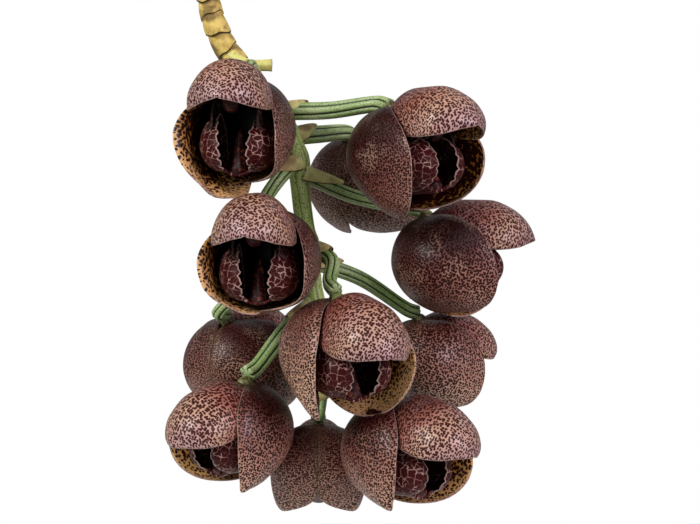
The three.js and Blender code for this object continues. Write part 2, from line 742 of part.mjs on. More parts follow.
function lipFloor() {

	const halves = [ 4.5, 13.5, 7 ];
	return grid( halves.length, 3, ( i, j ) => {

		const v = j - 1;
		const u = i / ( halves.length - 1 );
		const callus = j === 1 && i > 0 ? CALLUS_HEIGHT : 0;
		const rise = 3.4 * v * v + 3 * u * u + callus;
		return vec( LIP_BACK + LIP_LENGTH * u, - halves[ i ] * v, LIP_HEIGHT + rise );

	} );

}

const COLUMN_PATH = [ vec( 1.5, 0, - 2.5 ), vec( 10, 0, - 5.5 ), vec( 20, 0, - 8.5 ), vec( 27, 0, - 13 ) ];
const column = () => sweep( COLUMN_PATH, ( t ) => 1.8 + 2 * sin( PI * t * 0.8 ),
	{ sides: 5, stations: evenly( 3 ) } );

function flower( bloom ) {

	const [ right, left ] = [ lateralSepal( bloom, 0 ), lateralSepal( bloom, 1 ) ];
	const lower = [
		thicken( joined( left, mirrored( right ) ), SEPAL_THICKNESS ),
		...[ petal(), mirrored( petal() ), lipLobe(), mirrored( lipLobe() ) ]
			.map( ( sheet ) => thicken( sheet, PETAL_THICKNESS ) ),
		thicken( lipFloor(), SEPAL_THICKNESS ),
	];
	lower.forEach( ( piece ) => piece.rotateY( radians( bloom.gape ) ) );
	const knob = new THREE.IcosahedronGeometry( KNOB_RADIUS, 0 );
	const frame = bloomFrame( bloom );
	return fuse( [ thicken( dorsalSepal(), SEPAL_THICKNESS ), column(), knob, ...lower ]
		.map( ( piece ) => piece.applyMatrix4( frame ) ) );

}

// Green axis with a ribbed pedicel and a bract for every flower

const RACHIS_PATH = [
	[ - 31.2, 7.2, - 29.3 ], [ - 30, 7.6, - 31.2 ], [ - 28, 8.3, - 36 ], [ - 20.5, 9, - 46 ], [ - 12, 6.5, - 55 ],
	[ - 6, 4, - 68 ], [ - 4.5, 3, - 81.5 ], [ - 3, 2, - 94.5 ], [ - 0.5, 2, - 110 ], [ 1.5, 3, - 125.5 ],
	[ 3, 4, - 141 ], [ 4, 7, - 158.5 ], [ 4.5, 10, - 174 ],
].map( ( p ) => inSpike( ...p ) );
const rachisRadius = through( [ [ 0, 4.6 ], [ 0.2, 4.7 ], [ 0.4, 4.3 ], [ 0.7, 3.8 ], [ 1, 2.8 ] ] );

function pedicelPath( bloom ) {

	const frame = bloomFrame( bloom );
	const { arrive, gape } = bloom;
	const end = vec( - 3.5 + 0.03 * gape, 0, arrive - 0.7 - 0.02 * gape ).applyMatrix4( frame );
	const before = vec( - 9, 0, arrive + 0.12 * gape ).applyMatrix4( frame );
	const root = inSpike( ...bloom.root );
	const arch = 0.07 * hypot( root.x - before.x, root.y - before.y );
	const middle = root.clone().lerp( before, 0.5 ).add( vec( ...bloom.bow ) );
	return [ root, middle.add( vec( 0, 0, arch ) ), before, end ];

}

// A bract wraps the foot of its pedicel like a half cone, and its tip stands a little clear above it.

function bract( bloom ) {

	const [ root, middle ] = pedicelPath( bloom );
	const along = middle.clone().sub( root ).normalize();
	const up = vec( 0, 0, 1 ).addScaledVector( along, - along.z ).normalize();
	const foot = root.clone().addScaledVector( along, 1.5 ).addScaledVector( up, 0.8 );
	const tip = foot.clone().addScaledVector( along, bloom.bract ).addScaledVector( up, 4.2 );
	return sweep( [ foot, tip ], ( t ) => 0.8 + 4.6 * ( 1 - t ), { sides: 3, stations: [ 0, 1 ] } );

}

function rachis() {

	const axis = sweep( RACHIS_PATH, rachisRadius, { stations: evenly( 9 ) } );
	const pedicels = BLOOMS.map( ( bloom ) => sweep( pedicelPath( bloom ),
		( t ) => bloom.stem * ( 1.05 - 0.2 * t ), { stations: [ 0, 0.3, 0.65, 1 ], rib: 0.13 } ) );
	return fuse( [ axis, ...pedicels, ...BLOOMS.map( bract ) ] );

}

// The whole plant

const plant = new THREE.Group();

function addNode( name, shape, material ) {

	const geometry = shape.isBufferGeometry ? shape : toGeometry( shape );
	const mesh = new THREE.Mesh( geometry, material );
	mesh.name = name;
	plant.add( mesh );

}

const stalkHole = [ STALK_PATH[ 0 ].clone().add( vec( 0, 0, - 1 ) ), ...STALK_PATH.slice( 1, 3 ) ];
const holes = [
	...BULBS.map( ( bulb ) => new THREE.CylinderGeometry( 1, 1, 2 * HOLE_HEIGHT, 14 ).rotateX( PI / 2 )
		.scale( bulb.radius * 0.92 + GAP, bulb.radius * 0.92 + GAP, 1 )
		.translate( bulb.x, bulb.y, barkTop - BULB_SUNK - GAP + HOLE_HEIGHT ) ),
	sweep( stalkHole, STALK_RADIUS + 1.7, { stations: evenly( 4 ) } ),
];

addNode( 'pot', potWall(), FINISH.clay );
addNode( 'bark', bark( holes ), FINISH.bark );
addNode( 'hook', hook(), FINISH.wire );
LEG_HEADINGS.forEach( ( heading, k ) => addNode( `leg_${ k + 1 }`, leg( heading ), FINISH.wire ) );
BULBS.forEach( ( bulb, k ) => {

	addNode( `bulb_${ k + 1 }`, bulbSkin( bulb ), FINISH.bulb );
	if ( bulb.leaves.length ) addNode( `leaves_${ k + 1 }`, leafTuft( bulb ), FINISH.leaf );

} );
addNode( 'stalk', stalk(), FINISH.stalk );
addNode( 'rachis', rachis(), FINISH.rachis );
BLOOMS.forEach( ( bloom, k ) => {

	addNode( `bloom_${ String( k + 1 ).padStart( 2, '0' ) }`, flower( bloom ), FINISH.bloom );

} );

export default plant;
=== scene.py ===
"""A potted Acineta superba in a hanging clay pot, with one drooping spike of eleven flowers.

The frame is the plant's own: Z up, and the origin is the inside top of the hook. Shapes are worked
out in millimetres and turned to metres when their mesh is made.
"""

from __future__ import annotations

import logging
from dataclasses import dataclass, field
from enum import Enum
from typing import Callable, Sequence

import bpy
import numpy as np
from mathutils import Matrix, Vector


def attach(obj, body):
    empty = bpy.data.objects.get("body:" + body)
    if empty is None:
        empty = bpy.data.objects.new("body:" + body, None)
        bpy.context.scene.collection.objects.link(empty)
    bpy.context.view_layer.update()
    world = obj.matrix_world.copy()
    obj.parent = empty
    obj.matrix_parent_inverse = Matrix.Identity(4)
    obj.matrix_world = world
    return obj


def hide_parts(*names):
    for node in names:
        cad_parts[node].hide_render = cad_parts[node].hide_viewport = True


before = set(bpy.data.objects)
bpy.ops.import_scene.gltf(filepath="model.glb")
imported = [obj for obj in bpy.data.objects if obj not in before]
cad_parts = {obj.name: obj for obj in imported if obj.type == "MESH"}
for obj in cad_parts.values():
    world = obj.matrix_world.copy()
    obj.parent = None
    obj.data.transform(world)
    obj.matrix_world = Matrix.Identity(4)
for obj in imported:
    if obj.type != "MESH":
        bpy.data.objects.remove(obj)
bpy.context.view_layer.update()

Array = np.ndarray
log = logging.getLogger("acineta")

METRE = 0.001  # one millimetre in metres
PATTERN_UP = np.array([0.31, 0.11, 0.94])  # a direction near upright that no sheet's middle faces
CUP_ROUND = 1.64  # a cup's own diameter, in its longest straight distance from its middle
MOST_BEND = 0.9  # how far round a cup counts when it is laid flat
SHEET_SPACING = 137.0  # from one sheet laid flat to the next, in mm

# Driving sizes of the plant, in millimetres

RIM_HEIGHT = -262.0
POT_HEIGHT = 116.0
RIM_RADIUS = 78.0
COLLAR_HEIGHT = 22.0
COLLAR_STEP = 4.5
BASE_RADIUS = 52.0
POT_WALL = 6.5
DRAIN_RADIUS = 7.0
COLLAR_RADIUS = RIM_RADIUS - 1  # the collar's lower edge
NECK_RADIUS = COLLAR_RADIUS - COLLAR_STEP  # the wall just under the collar
INNER_RADIUS = RIM_RADIUS - 3 - POT_WALL  # the inside at the rim
WALL_LEAN = (NECK_RADIUS - BASE_RADIUS) / (POT_HEIGHT - COLLAR_HEIGHT)
BARK_BELOW_RIM = 12.0
BARK_TOP = RIM_HEIGHT - BARK_BELOW_RIM
BARK_PLAY = 0.4  # between the bark and the pot's wall
BULB_SUNK = 9.0
SPIKE = np.array([104.0, -74.0, -404.0])  # the spike's own frame in the plant's frame


class Slot(str, Enum):
    """The record's material slots."""

    CLAY = "clay"
    BARK = "bark"
    WIRE = "wire"
    BULB = "bulb"
    LEAF = "leaf"
    STALK = "stalk"
    RACHIS = "rachis"
    BLOOM = "bloom"


class Side(Enum):
    """The two sides of a flower, as the sign of their Y."""

    LEFT = 1.0
    RIGHT = -1.0


# Shapes as arrays


def unit(vectors: Array) -> Array:
    """Vectors at length one; a zero vector stays zero."""
    length = np.linalg.norm(vectors, axis=-1, keepdims=True)
    return vectors / np.maximum(length, 1e-12)


def down_rows(rows: int) -> Array:
    """Even shares from 0 to 1, as one column with a share for each row of a grid."""
    return np.linspace(0.0, 1.0, rows)[:, None]


def across_row(columns: int) -> Array:
    """Even shares from -1 to 1, as one row with a share for each column of a grid."""
    return np.linspace(-1.0, 1.0, columns)[None, :]


def round_row(columns: int) -> Array:
    """Even angles once round, in radians, as one row with an angle for each column of a grid."""
    return np.linspace(0.0, 2 * np.pi, columns, endpoint=False)[None, :]


def smoothstep(low: float, high: float, value: Array) -> Array:
    """Rises from 0 at low to 1 at high: t squared times (3 - 2t), with t the share of the way."""
    share = np.clip((value - low) / (high - low), 0.0, 1.0)
    return share * share * (3.0 - 2.0 * share)


def bell(value: Array, middle: float, width: float) -> Array:
    """A rounded bump of height 1 at middle: e to the minus squared distance over squared width."""
    return np.exp(-(((value - middle) / width) ** 2))


def through(stations: Sequence[tuple[float, float]]) -> Callable[[Array], Array]:
    """Gives a smooth curve through stations that never overshoots between them.

    Each stretch is a cubic between its two stations. The slope at a station is the weighted harmonic
    mean of the slopes beside it, and zero where the curve turns.

    Args:
        stations: Pairs of place and value, in rising order of place.

    Returns:
        A function from an array of places to the array of values there.
    """
    place, value = np.array(stations, float).T
    step = np.diff(place)
    slope = np.diff(value) / step
    before, after = slope[:-1], slope[1:]
    turns = before * after <= 0.0
    near = 2.0 * step[1:] + step[:-1]
    far = step[1:] + 2.0 * step[:-1]
    mean = (near + far) / (near / np.where(turns, 1.0, before) + far / np.where(turns, 1.0, after))
    lean = np.concatenate([slope[:1], np.where(turns, 0.0, mean), slope[-1:]])

    def curve(at: Array) -> Array:
        """The value at each place: the two ends' values and slopes, blended by cubic weights."""
        i = np.clip(np.searchsorted(place, at, side="right") - 1, 0, len(step) - 1)
        t = np.clip((at - place[i]) / step[i], 0.0, 1.0)
        s = 1.0 - t
        rise = (1.0 + 2.0 * t) * s * s * value[i] + t * s * s * step[i] * lean[i]
        return rise + t * t * (3.0 - 2.0 * t) * value[i + 1] - t * t * s * step[i] * lean[i + 1]

    return curve


class Path:
    """A smooth line through points, read by the share of its length.

    The line is a centripetal spline: each stretch is a cubic whose end slopes weigh the stretches
    beside it by the square root of their length. The frame across the line starts from the direction
    in which its points spread least, so it doesn't twist.
    """

    def __init__(self, points: Sequence[Sequence[float]], fine: int = 40) -> None:
        """Works out the line.

        Args:
            points: The points that the line goes through.
            fine: How many samples each stretch between two points has.
        """
        given = np.asarray(points, float)
        whole = np.vstack([2 * given[0] - given[1], given, 2 * given[-1] - given[-2]])
        gap = np.sqrt(np.linalg.norm(np.diff(whole, axis=0), axis=1))[:, None]
        start, end = whole[1:-2], whole[2:-1]
        before, own, after = gap[:-2], gap[1:-1], gap[2:]
        leave = (start - whole[:-3]) / before - (end - whole[:-3]) / (before + own) + (end - start) / own
        reach = (end - start) / own - (whole[3:] - start) / (own + after) + (whole[3:] - end) / after
        leave, reach = leave * own, reach * own
        t = np.linspace(0.0, 1.0, fine, endpoint=False)[None, :, None]
        start, end, leave, reach = (a[:, None, :] for a in (start, end, leave, reach))
        curve = start + leave * t + (3 * (end - start) - 2 * leave - reach) * t**2
        curve = curve + (2 * (start - end) + leave + reach) * t**3
        self.points = np.vstack([curve.reshape(-1, 3), given[-1:]])
        steps = np.linalg.norm(np.diff(self.points, axis=0), axis=1)
        self.length = float(steps.sum())
        self.share = np.concatenate([[0.0], np.cumsum(steps)]) / self.length
        self.heading = unit(np.gradient(self.points, self.share, axis=0))
        least = np.linalg.svd(self.points - self.points.mean(0))[2][-1]
        self.across = unit(least - self.heading * (self.heading @ least)[:, None])
        self.beside = np.cross(self.heading, self.across)

    def read(self, table: Array, share: Array) -> Array:
        """A table's values at shares of the length, by straight lines between its samples."""
        return np.stack([np.interp(share, self.share, table[:, k]) for k in range(3)], -1)

    def ring(self, share: Array, angle: Array, radius: Array) -> Array:
        """Points round the line: place + radius times (cos angle across + sin angle beside).

        Args:
            share: Shares of the line's length.
            angle: Angles round it, in radians.
            radius: Distances from it.

        Returns:
            An array of points in the shape that the three arrays give together.
        """
        share, angle, radius = np.broadcast_arrays(share, angle, radius)
        out = np.cos(angle)[..., None] * self.read(self.across, share)
        out = out + np.sin(angle)[..., None] * self.read(self.beside, share)
        return self.read(self.points, share) + radius[..., None] * out


def turned(profile: Sequence[tuple[float, float]], sectors: int) -> Array:
    """Turns a profile of radius and height round Z: (r cos angle, r sin angle, height)."""
    radius, height = np.array(profile, float).T
    angle = np.linspace(0.0, 2 * np.pi, sectors, endpoint=False)
    return np.stack([
        radius[:, None] * np.cos(angle),
        radius[:, None] * np.sin(angle),
        np.broadcast_to(height[:, None], (len(height), sectors)),
    ], -1)


def rounded(profile: Sequence[tuple[float, float, float]], steps: int = 5) -> list[tuple[float, float]]:
    """Rounds the corners of a profile.

    Each corner with a radius becomes a quadratic arc: (1 - t) squared of the point before it,
    2t(1 - t) of the corner and t squared of the point after it.

    Args:
        profile: Radius, height and corner radius of each point.
        steps: How many points a rounded corner gets.

    Returns:
        Radius and height of each point of the rounded profile.
    """
    points = np.array(profile, float)
    made: list[tuple[float, float]] = []
    for i, (radius, height, corner) in enumerate(points):
        here = np.array([radius, height])
        if corner == 0.0 or i in (0, len(points) - 1):
            made.append((radius, height))
            continue
        back, on = (here + corner * unit(points[k, :2] - here) for k in (i - 1, i + 1))
        t = down_rows(steps)
        made += [tuple(p) for p in (1 - t) ** 2 * back + 2 * t * (1 - t) * here + t**2 * on]
    return made


def grid_faces(rows: int, columns: int, wrap: bool, pole: bool) -> Array:
    """Joins the points of a grid by four-cornered faces that face out where the columns turn
    counter-clockwise round the rows' heading. With a pole, the first row is one point, and the faces
    at it have three corners and -1 for the fourth.

    Args:
        rows: How many rows the grid has.
        columns: How many columns it has.
        wrap: Whether the last column joins the first.
        pole: Whether the first row is one point.

    Returns:
        An array of faces by the index of their corners.
    """
    last = columns if wrap else columns - 1
    row, column = np.meshgrid(np.arange(rows - 1), np.arange(last), indexing="ij")
    beyond = (column + 1) % columns
    corners = [row * columns + column, row * columns + beyond, (row + 1) * columns + beyond,
               (row + 1) * columns + column]
    faces = np.stack(corners, -1)
    if pole:
        faces = faces - (columns - 1)
        faces[0, :, 0] = 0
        faces[0, :, 1:3] = faces[0, :, 2:4]
        faces[0, :, 3] = -1
    return faces.reshape(-1, 4)


def turned_over(faces: Array) -> Array:
    """The same faces seen from their other side."""
    over = faces[:, ::-1].copy()
    three = faces[:, 3] < 0
    over[three] = faces[three][:, [2, 1, 0, 3]]
    return over


def open_edges(faces: Array) -> Array:
    """The edges that only one face has, each from corner to corner as that face goes round."""
    four, three = faces[faces[:, 3] >= 0], faces[faces[:, 3] < 0][:, :3]
    edges = np.vstack([np.stack([f, np.roll(f, -1, axis=1)], -1).reshape(-1, 2) for f in (four, three)])
    many = faces.max() + 1
    own = edges[:, 0] * many + edges[:, 1]
    other = edges[:, 1] * many + edges[:, 0]
    return edges[~np.isin(own, other)]


def grid_normals(grid: Array, wrap: bool, pole: bool) -> Array:
    """The outward direction at each point of a grid: the way along its columns crossed with the way
    down its rows. A pole takes the mean of the row beside it."""
    down = np.gradient(grid, axis=0)
    if wrap:
        across = (np.roll(grid, -1, axis=1) - np.roll(grid, 1, axis=1)) / 2
    else:
        across = np.gradient(grid, axis=1)
    normal = unit(np.cross(across, down))
    if pole:
        normal[0] = unit(normal[1].mean(axis=0))
    return normal


def run_down(grid: Array) -> Array:
    """How far each point of a grid lies from the first row, measured down its own column."""
    steps = np.linalg.norm(np.diff(grid, axis=0), axis=-1)
    return np.concatenate([np.zeros((1, grid.shape[1])), np.cumsum(steps, axis=0)])


def laid_flat(grid: Array, normal: Array, row: int, column: int) -> Array:
    """A cup-shaped sheet's points on a plane, so that a pattern keeps its shape on it and grows a
    little finer towards the edge. A point goes in the direction that it has from the middle, to
    c / sqrt(1 - (c / 2R) squared), where c is its straight distance from the middle and R is a
    little over the cup's own radius.

    Args:
        grid: The sheet's points by row and column.
        normal: The outward direction at each point.
        row: The row of the point taken for the middle.
        column: Its column.

    Returns:
        Two places in the plane by point, and a zero.
    """
    middle, out = grid[row, column], normal[row, column]
    first = unit(np.cross(out, PATTERN_UP))
    second = np.cross(out, first)
    away = grid - middle
    chord = np.linalg.norm(away, axis=-1)
    bend = np.clip(chord / (CUP_ROUND * chord.max()), 0.0, MOST_BEND)
    plane = np.stack([away @ first, away @ second], -1)
    reach = chord / np.sqrt(1 - bend**2)
    plane = unit(plane) * reach[..., None]
    return np.concatenate([plane, np.zeros_like(plane[..., :1])], -1)


@dataclass
class Skin:
    """The points and faces of one piece, gathered sheet by sheet.

    Each point carries three shares for its material to read: along, from foot to tip; margin, from
    the middle of a sheet to its edge; and mouth, how near the point is to an opening. It also carries
    its place on the sheet laid flat, in millimetres.
    """

    points: list[Array] = field(default_factory=list)
    shares: list[Array] = field(default_factory=list)
    flats: list[Array] = field(default_factory=list)
    faces: list[Array] = field(default_factory=list)
    coats: list[Array] = field(default_factory=list)
    count: int = 0

    def add(self, points: Array, faces: Array, coat: int, shares: Sequence[Array],
            flat: Array | None = None) -> None:
        """Adds points and faces of one coat.

        Args:
            points: Points, one a row.
            faces: Faces by the index of their corners among these points.
            coat: Which of the piece's materials they take.
            shares: Along, margin and mouth, each one value a point.
            flat: Each point's place on the sheet laid flat, where the piece has sheets.
        """
        self.points.append(points)
        self.flats.append(np.zeros_like(points) if flat is None else flat)
        self.shares.append(np.stack([np.broadcast_to(s, len(points)) for s in shares], -1))
        self.faces.append(np.where(faces < 0, -1, faces + self.count))
        self.coats.append(np.full(len(faces), coat))
        self.count += len(points)

    def add_tube(self, grid: Array, coat: int = 0, along: Array | float | None = None,
                 margin: Array | float = 0.0, mouth: Array | float = 0.0) -> None:
        """Adds a closed tube whose rows are rings, with a flat fan at each end.

        Args:
            grid: Points by row and column.
            coat: Which of the piece's materials it takes.
            along: Share of the way to the tip; by default it rises evenly by row.
            margin: Margin share by point.
            mouth: Mouth share by point.
        """
        rows, columns = grid.shape[:2]
        if along is None:
            along = down_rows(rows)
        ends = np.stack([grid[0].mean(axis=0), grid[-1].mean(axis=0)])
        points = np.vstack([grid.reshape(-1, 3), ends])
        ring = np.arange(columns)
        after = (ring + 1) % columns
        first, last, none = rows * columns, rows * columns + 1, np.full(columns, -1)
        base = (rows - 1) * columns
        fans = [np.stack([after, ring, np.full(columns, first), none], -1),
                np.stack([base + ring, base + after, np.full(columns, last), none], -1)]
        faces = np.vstack([grid_faces(rows, columns, True, False), *fans])
        shares = []
        for value in (along, margin, mouth):
            whole = np.broadcast_to(value, (rows, columns))
            shares.append(np.concatenate([whole.ravel(), [whole[0].mean(), whole[-1].mean()]]))
        self.add(points, faces, coat, shares)

    def add_shell(self, grid: Array, thickness: Array | float, coats: tuple[int, int] = (0, 0),
                  along: Array | float = 0.0, margin: Array | float = 0.0, mouth: Array | float = 0.0,
                  wrap: bool = False, pole: bool = False, flip: bool = False) -> None:
        """Adds a sheet with a thickness: the grid, a copy moved inwards, and a strip round the edge.

        Args:
            grid: Points of the outer side, by row and column.
            thickness: How far the inner side lies from it.
            coats: The materials of the outer and the inner side.
            along: Along share by point.
            margin: Margin share by point.
            mouth: Mouth share by point.
            wrap: Whether the last column joins the first.
            pole: Whether the first row is one point.
            flip: Whether the grid's faces point inwards as it stands.
        """
        rows, columns = grid.shape[:2]
        normal = grid_normals(grid, wrap, pole) * (-1.0 if flip else 1.0)
        deep = np.broadcast_to(thickness, (rows, columns))[..., None]

        def flat(values: Array) -> Array:
            """One row a point, with the pole's row as one."""
            if pole:
                return np.concatenate([values[0, :1], values[1:].reshape(-1, *values.shape[2:])])
            return values.reshape(-1, *values.shape[2:])

        outer, inner = flat(grid), flat(grid - normal * deep)
        faces = grid_faces(rows, columns, wrap, pole)
        faces = turned_over(faces) if flip else faces
        back = np.where(turned_over(faces) < 0, -1, turned_over(faces) + len(outer))
        edges = open_edges(faces)
        start, end = edges.T
        strip = np.stack([end, start, start + len(outer), end + len(outer)], -1)
        shares = [flat(np.broadcast_to(v, (rows, columns))) for v in (along, margin, mouth)]
        middle = (0, 0) if pole else (rows // 2, columns // 2)
        plane = flat(laid_flat(grid, normal, *middle)) + [0.0, SHEET_SPACING * len(self.points), 0.0]
        self.add(np.vstack([outer, inner]), np.vstack([faces, back, strip]), 0,
                 [np.concatenate([s, s]) for s in shares], np.vstack([plane, plane]))
        self.coats[-1] = np.repeat([coats[0], coats[1], coats[0]], [len(faces), len(back), len(strip)])

    def piece(self, name: str, coats: Sequence[bpy.types.Material]) -> bpy.types.Object:
        """Makes the gathered sheets an object of the scene, in metres, with smooth shading.

        Args:
            name: The object's name.
            coats: Its materials, in the order of the coats' numbers.

        Returns:
            The new object, at the origin.
        """
        points, faces = np.vstack(self.points) * METRE, np.vstack(self.faces)
        corners = np.where(faces < 0, 0, 1).sum(axis=1)
        mesh = bpy.data.meshes.new(name)
        mesh.vertices.add(len(points))
        mesh.vertices.foreach_set("co", points.astype(np.float32).ravel())
        mesh.loops.add(int(corners.sum()))
        mesh.loops.foreach_set("vertex_index", faces[faces >= 0].astype(np.int32))
        mesh.polygons.add(len(faces))
        starts = np.concatenate([[0], np.cumsum(corners)[:-1]])
        mesh.polygons.foreach_set("loop_start", starts.astype(np.int32))
        mesh.polygons.foreach_set("material_index", np.concatenate(self.coats).astype(np.int32))
        mesh.update(calc_edges=True)
        for kind, values in (("shares", self.shares), ("flat", self.flats)):
            made = mesh.attributes.new(kind, "FLOAT_VECTOR", "POINT")
            made.data.foreach_set("vector", np.vstack(values).astype(np.float32).ravel())
        mesh.shade_smooth()
        for coat in coats:
            mesh.materials.append(coat)
        made = bpy.data.objects.new(name, mesh)
        bpy.context.scene.collection.objects.link(made)
        return made


# Materials


def linear(colour: str) -> tuple[float, float, float, float]:
    """Turns an sRGB hex colour to linear: v / 12.92 when dark, else ((v + 0.055) / 1.055) to the 2.4."""
    parts = [int(colour[i:i + 2], 16) / 255.0 for i in (1, 3, 5)]
    red, green, blue = (v / 12.92 if v <= 0.04045 else ((v + 0.055) / 1.055) ** 2.4 for v in parts)
    return red, green, blue, 1.0


def connect(tree: bpy.types.NodeTree, made: bpy.types.Node, links: dict) -> None:
    """Feeds a node's inputs, each from the node and output given for its name or number."""
    for key, (source, output) in links.items():
        tree.links.new(source.outputs[output], made.inputs[key])


def add_node(tree: bpy.types.NodeTree, kind: str, settings: dict | None = None,
             links: dict | None = None) -> bpy.types.Node:
    """Adds a node with its settings and links.

    Args:
        tree: The material's node tree.
        kind: The node's type.
        settings: Values by name or number of an input, or by name of a property. "stops" is a list
            of places and hex colours for a colour ramp.
        links: For each input's name or number, the node and the output that feed it.

    Returns:
        The new node.
    """
    made = tree.nodes.new(kind)
    for key, value in (settings or {}).items():
        if key == "stops":
            stops = made.color_ramp.elements
            while len(stops) < len(value):
                stops.new(1.0)
            for stop, (place, colour) in zip(stops, value):
                stop.position, stop.color = place, linear(colour)
        elif isinstance(key, int) or key in made.inputs:
            made.inputs[key].default_value = value
        else:
            setattr(made, key, value)
    connect(tree, made, links or {})
    return made


MIX_COLOUR_A, MIX_COLOUR_B, MIX_RESULT = 6, 7, 2  # a Mix node's colour inputs and output


@dataclass(frozen=True)
class Finish:
    """What every finish has: a name, and the values of its surface."""

    name: str
    roughness: float
    specular: float = 0.5
    metallic: float = 0.0

    def start(self) -> tuple[bpy.types.Material, bpy.types.NodeTree, bpy.types.Node]:
        """Makes the material with its shader and output.

        Returns:
            The material, its node tree and its shader node.
        """
        material = bpy.data.materials.new(self.name)
        material.use_nodes = True
        tree = material.node_tree
        tree.nodes.clear()
        shader = add_node(tree, "ShaderNodeBsdfPrincipled", {
            "Roughness": self.roughness, "Specular IOR Level": self.specular, "Metallic": self.metallic})
        add_node(tree, "ShaderNodeOutputMaterial", links={"Surface": (shader, "BSDF")})
        return material, tree, shader


def mixed(tree: bpy.types.NodeTree, share: tuple, below: tuple | str,
          above: tuple | str) -> tuple[bpy.types.Node, int]:
    """Lays one colour over another by a share.

    Args:
        tree: The material's node tree.
        share: The node and output that give the share of the colour above.
        below: The node and output, or the hex colour, underneath.
        above: The node and output, or the hex colour, on top.

    Returns:
        The node and output of the mixed colour.
    """
    settings: dict = {"data_type": "RGBA"}
    links = {0: share}
    for number, colour in ((MIX_COLOUR_A, below), (MIX_COLOUR_B, above)):
        if isinstance(colour, str):
            settings[number] = linear(colour)
        else:
            links[number] = colour
    return add_node(tree, "ShaderNodeMix", settings, links), MIX_RESULT


def layered(tree: bpy.types.NodeTree, under: tuple | str, over: tuple | str, value: tuple,
            rise: tuple[float, float], share: tuple[float, float] = (0.0, 1.0),
            smooth: bool = True) -> tuple[bpy.types.Node, int]:
    """Lays one colour over another where a value is high, or low.

    Args:
        tree: The material's node tree.
        under: The node and output, or the hex colour, underneath.
        over: The node and output, or the hex colour, on top.
        value: The node and output of the value.
        rise: The two values between which the share of the colour on top changes.
        share: That share below them and above them.
        smooth: Whether it changes by a smooth step, or else evenly.

    Returns:
        The node and output of the colour.
    """
    cover = add_node(tree, "ShaderNodeMapRange", {
        "interpolation_type": "SMOOTHSTEP" if smooth else "LINEAR", "From Min": rise[0],
        "From Max": rise[1], "To Min": share[0], "To Max": share[1]}, {"Value": value})
    return mixed(tree, (cover, 0), under, over)


def piece_shares(tree: bpy.types.NodeTree) -> bpy.types.Node:
    """Reads a piece's own shares: output 0 is along, 1 is margin and 2 is mouth."""
    shares = add_node(tree, "ShaderNodeAttribute", {"attribute_name": "shares"})
    return add_node(tree, "ShaderNodeSeparateXYZ", links={0: (shares, "Vector")})


def bent_flat(tree: bpy.types.NodeTree, wave: float, reach: float) -> tuple[bpy.types.Node, int]:
    """Gives a piece's flat place in millimetres, pushed about by a noise.

    Args:
        tree: The material's node tree.
        wave: The length of a wave of the noise, in millimetres.
        reach: How far it pushes, in millimetres.

    Returns:
        The node and output of the place.
    """
    flat = add_node(tree, "ShaderNodeAttribute", {"attribute_name": "flat"})
    bend = add_node(tree, "ShaderNodeTexNoise", {"Scale": 1.0 / wave, "Detail": 1.0},
                    {"Vector": (flat, "Vector")})
    return add_node(tree, "ShaderNodeVectorMath", {"operation": "MULTIPLY_ADD", 1: (reach, reach, reach)},
                    {0: (bend, "Color"), 2: (flat, "Vector")}), 0


